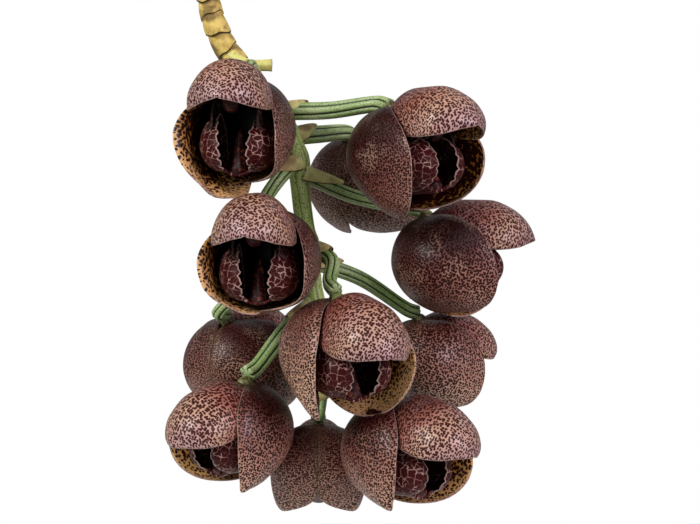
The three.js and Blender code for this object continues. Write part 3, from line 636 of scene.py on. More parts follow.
@dataclass(frozen=True)
class SpottedSepal(Finish):
    """The outer side of a sepal: a thin satin skin, rosy tan, closely dotted with dark maroon. It is
    maroon at its foot, partly its own colour and partly painted shade near the joint. Towards its tip and
    in soft patches it turns violet, partly its own colour and partly a painted violet sheen. A thin pale
    line runs along its open edge, partly its own margin and partly a painted highlight. The dots are
    drawn at about their real size."""

    grain: float = 1.55  # distance between dots, in millimetres
    dot: float = 0.36  # radius of a dot, as a share of that distance
    # foot and shade: the ground's dark end near the joint, partly its own maroon and partly painted shade
    foot: str = "#3A1A14"
    shade: str = "#6A3A32"
    flank: str = "#945F52"
    face: str = "#B08B74"
    # tip: the ground at the tip and in soft patches; on the hood it is violet, partly its own colour and
    # partly a painted violet sheen
    tip: str = "#A88588"
    dots: str = "#320502"
    # edge: a thin pale line along the open edge, partly its own margin and partly a painted highlight
    edge: str = "#B4968A"
    seam: str = "#5A4A30"

    def material(self) -> bpy.types.Material:
        """Builds the material.

        Returns:
            The material, which reads the shares of its piece.
        """
        material, tree, shader = self.start()
        place = add_node(tree, "ShaderNodeTexCoord")
        share = piece_shares(tree)
        broad = add_node(tree, "ShaderNodeTexNoise", {"Scale": 55.0, "Detail": 2.0},
                         {"Vector": (place, "Object")})
        shift = add_node(tree, "ShaderNodeMath", {"operation": "MULTIPLY_ADD", 1: 0.5, 2: -0.25},
                         {0: (broad, "Fac")})
        along = add_node(tree, "ShaderNodeMath", {"operation": "ADD"}, {0: (shift, 0), 1: (share, 0)})
        # the ground darkens towards the foot, partly its own maroon and partly painted shade near the
        # joint
        ground = add_node(tree, "ShaderNodeValToRGB", {"stops": [
            (0.02, self.foot), (0.2, self.shade), (0.45, self.flank), (0.7, self.face), (1.0, self.tip)]},
            {"Fac": (along, 0)})
        # soft patches of the tip colour: partly the skin's own colour and partly a painted violet sheen
        tint_and_sheen = add_node(tree, "ShaderNodeTexNoise", {"Scale": 90.0, "Detail": 1.0},
                         {"Vector": (place, "Object")})
        rosy = add_node(tree, "ShaderNodeMapRange", {"From Min": 0.5, "From Max": 0.75, "To Max": 0.4},
                        {"Value": (tint_and_sheen, "Fac")})
        ground = mixed(tree, (rosy, 0), (ground, "Color"), self.tip)
        dots_at = add_node(tree, "ShaderNodeTexVoronoi", {
            "voronoi_dimensions": "2D", "Scale": 1.0 / self.grain, "Randomness": 0.75},
            {"Vector": bent_flat(tree, 1.2, 0.8)})
        size = add_node(tree, "ShaderNodeMapRange", {
            "From Min": 0.3, "From Max": 0.7, "To Min": self.dot * 0.85, "To Max": self.dot * 1.15},
            {"Value": (broad, "Fac")})
        vary = add_node(tree, "ShaderNodeSeparateColor", links={0: (dots_at, "Color")})
        own = add_node(tree, "ShaderNodeMath", {"operation": "MULTIPLY_ADD", 1: 0.16},
                       {0: (vary, 0), 2: (size, 0)})
        inside = add_node(tree, "ShaderNodeMath", {"operation": "SUBTRACT"},
                          {0: (own, 0), 1: (dots_at, "Distance")})
        dots = add_node(tree, "ShaderNodeMapRange", {
            "interpolation_type": "SMOOTHSTEP", "From Min": -0.03, "From Max": 0.06, "To Max": 0.97},
            {"Value": (inside, 0)})
        colour = mixed(tree, (dots, 0), ground, self.dots)
        closed = add_node(tree, "ShaderNodeMath", {"operation": "SUBTRACT"},
                          {0: (share, 1), 1: (share, 2)})
        colour = layered(tree, colour, self.seam, (closed, 0), (0.86, 1.03), (0.0, 0.35))
        # painted highlight, partly the skin's own pale margin: a thin pale line along the open edge
        colour = layered(tree, colour, self.edge, (share, 2), (0.983, 0.995), (0.0, 0.6))
        connect(tree, shader, {"Base Color": colour})
        height = add_node(tree, "ShaderNodeMath", {"operation": "MULTIPLY", 1: -1.0}, {0: (dots, 0)})
        bump = add_node(tree, "ShaderNodeBump", {"Strength": 0.3, "Distance": 0.0002},
                        {"Height": (height, 0)})
        shine = add_node(tree, "ShaderNodeMapRange", {
            "To Min": self.specular, "To Max": 0.25 * self.specular}, {"Value": (dots, 0)})
        connect(tree, shader, {"Normal": (bump, 0), "Specular IOR Level": (shine, 0)})
        return material


@dataclass(frozen=True)
class SepalLining(Finish):
    """The inner side of a sepal: waxy ochre with maroon blotches that grow and run together deeper in.
    Painted light makes it paler at the mouth, and painted shade makes the deep part almost black."""

    grain: float = 1.9  # distance between blotches, in millimetres
    ground: str = "#B87F34"
    # mouth: the paler colour of the painted light at the mouth
    mouth: str = "#DDB078"
    blotch: str = "#260607"
    # deep: the near-black of the painted shade deep inside the flower
    deep: str = "#0E0203"

    def material(self) -> bpy.types.Material:
        """Builds the material.

        Returns:
            The material, which reads the shares of its piece.
        """
        material, tree, shader = self.start()
        share = piece_shares(tree)
        cells = add_node(tree, "ShaderNodeTexVoronoi", {
            "voronoi_dimensions": "2D", "Scale": 1.0 / self.grain, "Randomness": 0.85},
            {"Vector": bent_flat(tree, 1.8, 1.6)})
        open_share = add_node(tree, "ShaderNodeMath", {"operation": "ADD"},
                              {0: (share, 0), 1: (share, 2)})
        size = add_node(tree, "ShaderNodeMapRange", {
            "From Min": 0.8, "From Max": 1.95, "To Min": 0.76, "To Max": 0.2}, {"Value": (open_share, 0)})
        vary = add_node(tree, "ShaderNodeSeparateColor", links={0: (cells, "Color")})
        own = add_node(tree, "ShaderNodeMath", {"operation": "MULTIPLY_ADD", 1: 0.2},
                       {0: (vary, 0), 2: (size, 0)})
        inside = add_node(tree, "ShaderNodeMath", {"operation": "SUBTRACT"},
                          {0: (own, 0), 1: (cells, "Distance")})
        blotches = add_node(tree, "ShaderNodeMapRange", {
            "interpolation_type": "SMOOTHSTEP", "From Min": 0.0, "From Max": 0.08},
            {"Value": (inside, 0)})
        # painted light: the lining turns paler towards the mouth
        lit = add_node(tree, "ShaderNodeMapRange", {"From Min": 1.3, "From Max": 1.9},
                       {"Value": (open_share, 0)})
        ground = mixed(tree, (lit, 0), self.ground, self.mouth)
        colour = mixed(tree, (blotches, 0), ground, self.blotch)
        # painted shade: the lining turns almost black deep inside the flower
        colour = layered(tree, colour, self.deep, (share, 2), (0.12, 0.42), (1.0, 0.0))
        connect(tree, shader, {"Base Color": colour})
        return material


@dataclass(frozen=True)
class NettedLip(Finish):
    """Petals and lip: maroon flesh under a fine pale net, with pale frilled margins."""

    mesh: float = 3.4  # width of a loop of the net, in millimetres
    thread: float = 0.05  # width of its lines, as a share of a loop
    ground: str = "#360A0C"
    net: str = "#A48278"
    edge: str = "#C0A498"
    rim: float = 0.75  # how strongly the margin is pale

    def material(self) -> bpy.types.Material:
        """Builds the material.

        Returns:
            The material, which reads the shares of its piece.
        """
        material, tree, shader = self.start()
        share = piece_shares(tree)
        flat = add_node(tree, "ShaderNodeAttribute", {"attribute_name": "flat"})
        loops = add_node(tree, "ShaderNodeTexVoronoi", {
            "voronoi_dimensions": "2D", "feature": "DISTANCE_TO_EDGE", "Scale": 1.0 / self.mesh},
            {"Vector": bent_flat(tree, 2.2, 3.0)})
        patch = add_node(tree, "ShaderNodeTexNoise", {"Scale": 0.14, "Detail": 2.0},
                         {"Vector": (flat, "Vector")})
        width = add_node(tree, "ShaderNodeMapRange", {
            "From Min": 0.42, "From Max": 0.72, "To Min": 0.0, "To Max": 2.0 * self.thread},
            {"Value": (patch, "Fac")})
        outside = add_node(tree, "ShaderNodeMath", {"operation": "SUBTRACT"},
                           {0: (width, 0), 1: (loops, "Distance")})
        colour = layered(tree, self.ground, self.net, (outside, 0), (-0.03, 0.04))
        colour = layered(tree, colour, self.edge, (share, 1), (0.93, 0.99), (0.0, self.rim))
        connect(tree, shader, {"Base Color": colour})
        return material


@dataclass(frozen=True)
class StainedFlesh(Finish):
    """Waxy flesh of two colours in soft patches, such as the callus, the column and the joint."""

    ground: str = "#6A3018"
    stain: str = "#2A0A0C"
    patch: float = 3.0  # size of a patch, in millimetres
    cover: float = 0.5  # the share of the surface that is stained

    def material(self) -> bpy.types.Material:
        """Builds the material."""
        material, tree, shader = self.start()
        place = add_node(tree, "ShaderNodeTexCoord")
        noise = add_node(tree, "ShaderNodeTexNoise", {"Scale": 1.0 / (self.patch * METRE), "Detail": 3.0},
                         {"Vector": (place, "Object")})
        colour = layered(tree, self.ground, self.stain, (noise, "Fac"),
                         (0.95 - self.cover, 1.05 - self.cover))
        connect(tree, shader, {"Base Color": colour})
        return material


@dataclass(frozen=True)
class GreenStem(Finish):
    """Living stem: smooth green ribs with fine dark specks, and painted shade that darkens the grooves
    between the ribs.
    """

    rib: str = "#86A35F"
    # groove: the colour of the painted shade in the grooves
    groove: str = "#18260F"
    speck: str = "#2C3A1A"
    pale: str = "#B9C896"
    speck_size: float = 0.9

    def material(self) -> bpy.types.Material:
        """Builds the material.

        Returns:
            The material, which reads margin as the depth of a groove.
        """
        material, tree, shader = self.start()
        place = add_node(tree, "ShaderNodeTexCoord")
        share = piece_shares(tree)
        broad = add_node(tree, "ShaderNodeTexNoise", {"Scale": 70.0, "Detail": 2.0},
                         {"Vector": (place, "Object")})
        colour = layered(tree, self.rib, self.pale, (broad, "Fac"),
                         (0.4, 0.75), (0.0, 0.7), smooth=False)
        cells = add_node(tree, "ShaderNodeTexVoronoi", {"Scale": 1.0 / (self.speck_size * METRE)},
                         {"Vector": (place, "Object")})
        colour = layered(tree, colour, self.speck, (cells, "Distance"), (0.25, 0.38), (0.7, 0.0))
        # painted shade: darker in the grooves between the ribs
        colour = layered(tree, colour, self.groove, (share, 1), (0.45, 0.9))
        connect(tree, shader, {"Base Color": colour})
        return material


@dataclass(frozen=True)
class PaperySheath(Finish):
    """Dry bract: papery tan, streaked, browned in large patches, with a dark brown edge."""

    ground: str = "#D4BB68"
    streak: str = "#93762F"
    age: str = "#5A4424"
    edge: str = "#2E2011"
    start_edge: float = 0.78

    def material(self) -> bpy.types.Material:
        """Builds the material.

        Returns:
            The material, which reads margin as the nearness of the sheath's edge.
        """
        material, tree, shader = self.start()
        place = add_node(tree, "ShaderNodeTexCoord")
        share = piece_shares(tree)
        noise = add_node(tree, "ShaderNodeTexNoise", {"Scale": 260.0, "Detail": 3.0},
                         {"Vector": (place, "Object")})
        colour = layered(tree, self.ground, self.streak, (noise, "Fac"),
                         (0.42, 0.68), (0.0, 0.85), smooth=False)
        cloud = add_node(tree, "ShaderNodeTexNoise", {"Scale": 110.0, "Detail": 4.0},
                         {"Vector": (place, "Object")})
        colour = layered(tree, colour, self.age, (cloud, "Fac"), (0.45, 0.62), (0.0, 0.8))
        ragged = add_node(tree, "ShaderNodeMath", {"operation": "MULTIPLY_ADD", 1: 0.16}, {
            0: (noise, "Fac"), 2: (share, 1)})
        colour = layered(tree, colour, self.edge, (ragged, 0),
                         (self.start_edge + 0.06, self.start_edge + 0.16))
        connect(tree, shader, {"Base Color": colour})
        return material


@dataclass(frozen=True)
class Terracotta(Finish):
    """Unglazed fired clay: matt orange brown, pale with lime where water has dried."""

    clay: str = "#B5704E"
    dark: str = "#94573B"
    lime: str = "#D8C3B0"

    def material(self) -> bpy.types.Material:
        """Builds the material."""
        material, tree, shader = self.start()
        place = add_node(tree, "ShaderNodeTexCoord")
        cloud = add_node(tree, "ShaderNodeTexNoise", {"Scale": 22.0, "Detail": 5.0},
                         {"Vector": (place, "Object")})
        colour = layered(tree, self.clay, self.dark, (cloud, "Fac"), (0.35, 0.65), smooth=False)
        bloom = add_node(tree, "ShaderNodeTexNoise", {"Scale": 38.0, "Detail": 6.0, "Roughness": 0.65},
                         {"Vector": (place, "Object")})
        colour = layered(tree, colour, self.lime, (bloom, "Fac"), (0.52, 0.72), (0.0, 0.6))
        connect(tree, shader, {"Base Color": colour})
        grit = add_node(tree, "ShaderNodeTexNoise", {"Scale": 900.0, "Detail": 3.0},
                        {"Vector": (place, "Object")})
        bump = add_node(tree, "ShaderNodeBump", {"Strength": 0.35, "Distance": 0.0004},
                        {"Height": (grit, "Fac")})
        connect(tree, shader, {"Normal": (bump, 0)})
        return material


@dataclass(frozen=True)
class PineBark(Finish):
    """Chipped pine bark: layered red brown, darker where it is damp."""

    light: str = "#8A6244"
    dark: str = "#3A281C"

    def material(self) -> bpy.types.Material:
        """Builds the material."""
        material, tree, shader = self.start()
        place = add_node(tree, "ShaderNodeTexCoord")
        layers = add_node(tree, "ShaderNodeTexNoise", {"Scale": 180.0, "Detail": 6.0, "Roughness": 0.65},
                          {"Vector": (place, "Object")})
        colour = add_node(tree, "ShaderNodeValToRGB", {"stops": [(0.35, self.dark), (0.65, self.light)]},
                          {"Fac": (layers, "Fac")})
        connect(tree, shader, {"Base Color": (colour, "Color")})
        bump = add_node(tree, "ShaderNodeBump", {"Strength": 0.8, "Distance": 0.001},
                        {"Height": (layers, "Fac")})
        connect(tree, shader, {"Normal": (bump, 0)})
        return material


@dataclass(frozen=True)
class SmoothGreen(Finish):
    """Leaf or bulb skin: satin green with paler and yellower patches and a fine lengthwise grain, and
    painted shade that darkens its folds and grooves.
    """

    green: str = "#4F7A35"
    pale: str = "#86A04C"
    # dark: the colour of the painted shade in folds and grooves
    dark: str = "#35592A"
    patch: float = 30.0  # size of a patch of colour, in millimetres

    def material(self) -> bpy.types.Material:
        """Builds the material.

        Returns:
            The material, which reads margin as the depth of a fold or groove.
        """
        material, tree, shader = self.start()
        place = add_node(tree, "ShaderNodeTexCoord")
        share = piece_shares(tree)
        cloud = add_node(tree, "ShaderNodeTexNoise", {"Scale": 1.0 / (self.patch * METRE), "Detail": 4.0},
                         {"Vector": (place, "Object")})
        colour = layered(tree, self.green, self.pale, (cloud, "Fac"), (0.38, 0.68), smooth=False)
        # painted shade: darker in the folds and pleats of a leaf and the grooves of a bulb
        fold = add_node(tree, "ShaderNodeMapRange", {"To Max": 0.7}, {"Value": (share, 1)})
        colour = mixed(tree, (fold, 0), colour, self.dark)
        connect(tree, shader, {"Base Color": colour})
        grain = add_node(tree, "ShaderNodeTexNoise", {"Scale": 900.0, "Detail": 2.0},
                         {"Vector": (place, "Object")})
        bump = add_node(tree, "ShaderNodeBump", {"Strength": 0.15, "Distance": 0.0003},
                        {"Height": (grain, "Fac")})
        connect(tree, shader, {"Normal": (bump, 0)})
        return material


@dataclass(frozen=True)
class GalvanisedWire(Finish):
    """Drawn steel wire with a dull zinc skin."""

    bright: str = "#A9ACAE"
    dull: str = "#74787A"

    def material(self) -> bpy.types.Material:
        """Builds the material."""
        material, tree, shader = self.start()
        place = add_node(tree, "ShaderNodeTexCoord")
        cloud = add_node(tree, "ShaderNodeTexNoise", {"Scale": 300.0, "Detail": 3.0},
                         {"Vector": (place, "Object")})
        colour = mixed(tree, (cloud, "Fac"), self.bright, self.dull)
        connect(tree, shader, {"Base Color": colour})
        return material


def dress(made: bpy.types.Object, slot: Slot, *nodes: str) -> None:
    """Hides the solids that a finished piece stands for, and makes it ride on the root.

    Args:
        made: The piece.
        slot: Not used.
        nodes: The solids that it replaces.
    """
    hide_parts(*nodes)
    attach(made, "root")
    log.info("%s: %d faces", made.name, len(made.data.polygons))


# Pot, hanger and bark


@dataclass
class Pot:
    """A thrown clay pot with a thick collar and a drain hole."""

    sectors: int = 128
    finish: Terracotta = Terracotta("fired terracotta", roughness=0.88, specular=0.25)

    def profile(self) -> list[tuple[float, float]]:
        """The wall as one closed line from the drain hole out, up, over the rim and back inside."""
        floor = POT_HEIGHT - POT_WALL
        return rounded([
            (DRAIN_RADIUS, -POT_HEIGHT, 0.0),
            (BASE_RADIUS, -POT_HEIGHT, 2.0),
            (NECK_RADIUS, -COLLAR_HEIGHT, 1.0),
            (COLLAR_RADIUS, -COLLAR_HEIGHT, 1.5),
            (RIM_RADIUS, -3.0, 1.5),
            (RIM_RADIUS - 2, 0.0, 1.5),
            (INNER_RADIUS + 2, 0.0, 1.5),
            (INNER_RADIUS - 2 * WALL_LEAN, -2.0, 1.0),
            (INNER_RADIUS - floor * WALL_LEAN, -floor, 3.0),
            (DRAIN_RADIUS, -floor, 0.0),
        ])

    def build(self) -> None:
        """Builds the pot, with faint throwing rings round its wall."""
        corners = np.array(self.profile())
        step = np.concatenate([[0.0], np.cumsum(np.linalg.norm(np.diff(corners, axis=0), axis=1))])
        even = np.unique(np.concatenate([step, np.arange(0.0, step[-1], 2.5)]))
        radius, height = (np.interp(even, step, corners[:, k]) for k in range(2))
        rings = 0.18 * np.sin(height * 1.1) * smoothstep(-POT_HEIGHT, -POT_HEIGHT + 8, height)
        walled = (height < -COLLAR_HEIGHT - 2) & (radius > DRAIN_RADIUS + 1)
        radius = np.where(walled, radius + rings, radius)
        wall = turned(list(zip(radius, height + RIM_HEIGHT)), self.sectors)
        skin = Skin()
        closed = np.concatenate([wall, wall[:1]])
        rows = len(closed)
        faces = grid_faces(rows, self.sectors, True, False) % ((rows - 1) * self.sectors)
        skin.add(wall.reshape(-1, 3), faces, 0, (0.0, 0.0, 0.0))
        dress(skin.piece("clay_pot", [self.finish.material()]), Slot.CLAY, "pot")


@dataclass
class Hanger:
    """A wire hook with a ferrule, from which three straight wires run down round the pot's collar."""

    hook_radius: float = 13.0
    hook_wire: float = 1.8
    leg_wire: float = 1.3
    knot_depth: float = 46.0
    ferrule_radius: float = 4.6
    ferrule_length: float = 16.0
    headings: tuple[float, ...] = (0.0, 120.0, 240.0)
    finish: GalvanisedWire = GalvanisedWire("galvanised steel wire", roughness=0.38, metallic=0.9)

    def hook_path(self) -> Path:
        """The hook's round, then its shank down to the ferrule."""
        angle = np.radians([-20, 20, 55, 90, 125, 160, 195])
        arc = [(self.hook_radius * np.cos(a), 0.0, self.hook_radius * (np.sin(a) - 1) + self.hook_wire)
               for a in angle]
        shank = [(-self.hook_radius * 0.55, 0.0, -self.hook_radius - 12),
                 (0.0, 0.0, -self.hook_radius - 20), (0.0, 0.0, -self.knot_depth)]
        return Path(arc + shank)

    def leg_path(self, heading: float) -> Path:
        """A leg from under the ferrule to its foot, which grips the collar from below.

        Args:
            heading: Where the leg goes, in degrees round Z.
        """
        out = RIM_RADIUS + 0.7 + self.leg_wire
        top = -self.knot_depth - self.ferrule_length / 2 - 0.3
        under = RIM_HEIGHT - COLLAR_HEIGHT - 0.6 - self.leg_wire
        line = [(2.4, top), (2.8, top - 4), (30, RIM_HEIGHT * 0.48), (out - 5, RIM_HEIGHT + 16),
                (out, RIM_HEIGHT + 2), (out, RIM_HEIGHT - 10), (out, under + 4), (out - 1.2, under + 0.7),
                (out - 4.8, under)]
        turn = np.radians(heading)
        return Path([(r * np.cos(turn), r * np.sin(turn), z) for r, z in line])

    def wire(self, path: Path, radius: float, rows: int) -> Skin:
        """A round wire along a path, with slightly rounded ends.

        Args:
            path: The wire's middle line.
            radius: Its radius.
            rows: How many rings of points it has.

        Returns:
            The wire's skin.
        """
        share = down_rows(rows)
        angle = round_row(16)
        end = np.minimum(share, 1 - share) * path.length
        taper = np.sqrt(np.clip(end / radius, 0.12, 1.0))
        skin = Skin()
        skin.add_tube(path.ring(share, angle, radius * taper))
        return skin

    def build(self) -> None:
        """Builds the hook with its ferrule, and the three legs."""
        wire = self.finish.material()
        skin = self.wire(self.hook_path(), self.hook_wire, 90)
        half = self.ferrule_length / 2
        wide, crimp = self.ferrule_radius, self.ferrule_radius - 0.7
        barrel = rounded([(0.0, -half, 0.0), (wide, -half, 0.8), (wide, -3.0, 0.6), (crimp, -2.2, 0.5),
                          (crimp, 2.2, 0.5), (wide, 3.0, 0.6), (wide, half, 1.2), (0.0, half, 0.0)])
        crimped = turned([(r, z - self.knot_depth) for r, z in barrel[1:-1]], 32)
        skin.add_tube(crimped)
        dress(skin.piece("hanger_hook", [wire]), Slot.WIRE, "hook")
        for number, heading in enumerate(self.headings, 1):
            leg = self.wire(self.leg_path(heading), self.leg_wire, 110)
            dress(leg.piece(f"hanger_leg_{number}", [wire]), Slot.WIRE, f"leg_{number}")


@dataclass
class Bark:
    """Bark that fills the pot, with loose chips on top."""

    chips: int = 150
    seed: int = 7
    finish: PineBark = PineBark("chipped pine bark", roughness=0.9, specular=0.2)

    def chip(self, random: np.random.Generator, at: Array) -> Array:
        """A flat rough lump: a squared ellipsoid with a broken outline, turned at random.

        Args:
            random: The seeded source of its size and turn.
            at: Its middle.

        Returns:
            Its points by ring and column.
        """
        size = np.array([9.0, 5.5, 2.2]) * random.uniform(0.7, 1.35, 3)
        height = np.linspace(-0.96, 0.96, 6)[:, None]
        angle = round_row(9)
        width = (1 - np.abs(height) ** 4) ** 0.3 * (1 + random.uniform(-0.16, 0.16, (1, 9)))
        corner = np.abs(np.cos(angle)) ** 6 + np.abs(np.sin(angle)) ** 6
        reach = width / corner ** (1 / 6)
        local = np.stack([reach * np.cos(angle) * size[0], reach * np.sin(angle) * size[1],
                          np.broadcast_to(height * size[2], reach.shape)], -1)
        local = local + random.normal(0.0, 0.22, local.shape)
        yaw, roll, tip = random.uniform(0, 2 * np.pi), random.normal(0, 0.35), random.normal(0, 0.35)
        turn = np.array([[np.cos(yaw), -np.sin(yaw), 0], [np.sin(yaw), np.cos(yaw), 0], [0, 0, 1]])
        lean = np.array([[1, 0, tip], [0, 1, roll], [-tip, -roll, 1]])
        return local @ (turn @ lean).T + at

    def build(self) -> None:
        """Builds the filling and its chips, spread by the golden angle."""
        def inner(depth: float) -> float:
            """The filling's radius at a depth under the rim."""
            return INNER_RADIUS - depth * WALL_LEAN - BARK_PLAY

        floor = POT_HEIGHT - POT_WALL - 0.3
        low, high = inner(floor), inner(BARK_BELOW_RIM)
        radius = np.concatenate([np.linspace(0.5, low, 8), np.linspace(low, high, 14)[1:],
                                 np.linspace(high, 0.5, 26)[1:]])
        height = np.concatenate([np.full(8, -floor), np.linspace(-floor, -BARK_BELOW_RIM, 14)[1:],
                                 np.full(25, -BARK_BELOW_RIM)])
        body = turned(list(zip(radius, height + RIM_HEIGHT)), 96)
        random = np.random.default_rng(self.seed)
        body[21:-1, :, 2] += random.normal(0.0, 0.5, body[21:-1, :, 2].shape)
        skin = Skin()
        skin.add_tube(body)
        golden = np.pi * (3 - np.sqrt(5))
        for k in range(self.chips):
            out = (high - 9) * np.sqrt((k + 0.5) / self.chips)
            at = np.array([out * np.cos(k * golden), out * np.sin(k * golden),
                           BARK_TOP + random.uniform(0.2, 2.4)])
            skin.add_tube(self.chip(random, at))
        dress(skin.piece("bark_filling", [self.finish.material()]), Slot.BARK, "bark")


# Bulbs and leaves


@dataclass(frozen=True)
class Bulb:
    """A grooved bulb that stands in the bark, and the headings of its leaves."""

    x: float
    y: float
    radius: float
    height: float
    turn: float
    leaves: tuple[float, ...] = ()

    @property
    def base(self) -> float:
        """The height of the bulb's foot."""
        return BARK_TOP - BULB_SUNK

    def skin_points(self, rows: int = 60, columns: int = 112, proud: float = 0.0,
                    upto: float = 1.0) -> tuple[Array, Array]:
        """The bulb's surface: girth by height, with seven grooves that fade at both ends.

        Args:
            rows: Rings of points.
            columns: Points round a ring.
            proud: How far the surface stands off the bulb.
            upto: The share of the height at which it stops.

        Returns:
            The points, and the depth of the groove at each.
        """
        girth = through([(0, 0.62), (0.12, 0.86), (0.35, 1.0), (0.62, 0.84), (0.85, 0.5), (1.0, 0.27)])
        u = np.linspace(0.0, upto, rows)[:, None]
        angle = round_row(columns)
        groove = (0.5 - 0.5 * np.cos(7 * angle)) ** 1.6 * np.sin(np.pi * np.minimum(1.0, u + 0.08))
        radius = self.radius * girth(u) * (1 - 0.10 * groove) + proud
        turned_by = angle + np.radians(self.turn)
        points = np.stack([self.x + radius * np.cos(turned_by), self.y + radius * np.sin(turned_by),
                           np.broadcast_to(self.base + self.height * u, radius.shape)], -1)
        return points, groove


BULBS = (
    Bulb(22, -20, 20, 78, 10, (-62, -25)),
    Bulb(25, 25, 22.5, 84, 50, (38, 80)),
    Bulb(-24, 23, 23.5, 88, 95, (158, 203)),
    Bulb(-26, -23, 21, 72, 30),
)


@dataclass
class Bulbs:
    """The four bulbs, each with the torn dry sheath round its foot."""

    green: SmoothGreen = SmoothGreen("waxy bulb skin", roughness=0.42, specular=0.4, green="#6F8C3C",
                                     pale="#9AA653", dark="#4C6A2C", patch=18.0)
    sheath: PaperySheath = PaperySheath("dry bulb sheath", roughness=0.75, specular=0.2, ground="#B59C6B",
                                        streak="#7C6440", edge="#5A4328")

    def build(self) -> None:
        """Builds every bulb with its sheath and, on a leafless one, the scar on its top."""
        coats = [self.green.material(), self.sheath.material()]
        for number, bulb in enumerate(BULBS, 1):
            skin = Skin()
            points, groove = bulb.skin_points()
            skin.add_tube(points, 0, margin=groove)
            random = np.random.default_rng(number)
            around, _ = bulb.skin_points(rows=16, columns=72, proud=0.7, upto=0.42)
            angle = np.linspace(0.0, 2 * np.pi, 72, endpoint=False)
            torn = 0.72 + 0.2 * np.sin(2 * angle + number) + 0.1 * random.uniform(-1, 1, 72)
            low = around[:1]
            around = low + (around - low) * np.clip(torn, 0.35, 1.0)[None, :, None]
            edge = np.broadcast_to(down_rows(16), (16, 72))
            skin.add_shell(around, 0.5, (1, 1), margin=edge, wrap=True)
            if not bulb.leaves:
                top = bulb.base + bulb.height
                scar = turned([(5.6, top - 1.0), (5.0, top + 1.2), (3.6, top + 2.2),
                               (0.4, top + 1.6)], 40)
                skin.add_tube(scar + [bulb.x, bulb.y, 0.0], 1, margin=0.3)
            dress(skin.piece(f"bulb_skin_{number}", coats), Slot.BULB, f"bulb_{number}")


@dataclass
class LeafTufts:
    """Two long pleated leaves on each of three bulbs, arching out and down."""

    length: float = 262.0
    pleat_depth: float = 1.8
    thickness: float = 0.55
    rows: int = 110
    columns: int = 49
    habits: tuple[tuple[float, float, float], ...] = ((1.0, 8.0, 118.0), (0.88, 16.0, 128.0))
    finish: SmoothGreen = SmoothGreen("pleated orchid leaf", roughness=0.45, specular=0.4)
    petiole: PaperySheath = PaperySheath("leaf foot sheath", roughness=0.7, specular=0.25,
                                         ground="#A9B06A", streak="#7E8C4A", edge="#8C7A44")

    def blade(self, heading: float, share: float, early: float, late: float) -> tuple:
        """A leaf: its midrib leans over by early + (late - early) u to the 1.3, and across it the
        blade rises by a shallow trough, two broad folds and fine pleats.

        Args:
            heading: Where it grows to, in degrees round Z.
            share: Its length as a share of the longest.
            early: Its lean at the foot, in degrees from upright.
            late: Its lean at the tip.

        Returns:
            The points by row and column, and the depth of the fold at each.
        """
        half = through([(0, 4), (0.1, 6), (0.3, 19), (0.55, 29), (0.8, 22), (0.94, 9), (1.0, 1)])
        u = np.linspace(0.0, 1.0, self.rows)
        lean = np.radians(early + (late - early) * u**1.3)
        step = self.length * share / (self.rows - 1)
        out = np.concatenate([[0.0], np.cumsum((np.sin(lean[1:]) + np.sin(lean[:-1])) / 2 * step)])
        up = np.concatenate([[0.0], np.cumsum((np.cos(lean[1:]) + np.cos(lean[:-1])) / 2 * step)])
        v = across_row(self.columns)
        u, lean, out, up = (a[:, None] for a in (u, lean, out, up))
        grown = np.maximum(0.15, np.sin(np.pi * np.minimum(1.0, u * 1.15)))
        fold = np.cos(2 * np.pi * v)
        fine = 0.45 * np.cos(12 * np.pi * v) * grown
        wave = 0.8 * np.sin(9 * u * np.pi + heading) * v**2 * grown
        lift = 0.2 * half(u) * v**2 + self.pleat_depth * fold * grown + fine + wave
        local = np.stack(np.broadcast_arrays(out - np.cos(lean) * lift, half(u) * v,
                                             up + np.sin(lean) * lift), -1)
        turn = np.radians(heading)
        spin = np.array([[np.cos(turn), -np.sin(turn), 0], [np.sin(turn), np.cos(turn), 0], [0, 0, 1]])
        depth = np.broadcast_to(0.3 * (0.5 - 0.5 * fold) + 0.35 * (0.5 - 0.5 * np.cos(12 * np.pi * v)),
                                local.shape[:2])
        return local @ spin.T, depth

    def build(self) -> None:
        """Builds a tuft of two leaves with their common sheath on every bulb that has leaves."""
        coats = [self.finish.material(), self.petiole.material()]
        for number, bulb in enumerate(BULBS, 1):
            if not bulb.leaves:
                continue
            top = np.array([bulb.x, bulb.y, bulb.base + bulb.height])
            skin = Skin()
            for heading, habit in zip(bulb.leaves, self.habits):
                points, depth = self.blade(heading, *habit)
                skin.add_shell(points + top + [0, 0, 4], self.thickness, margin=depth)
            collar = rounded([(3.0, 0.3, 0.0), (5.4, 0.3, 0.6), (6.6, 5.0, 3.0), (4.6, 13.0, 3.0),
                              (4.2, 17.0, 0.0)])
            cuff = turned(collar, 40) + top
            skin.add_tube(cuff, 1, margin=np.linspace(0.0, 1.0, len(cuff))[:, None])
            dress(skin.piece(f"leaf_tuft_{number}", coats), Slot.LEAF, f"leaves_{number}")


# Stalk and green axis


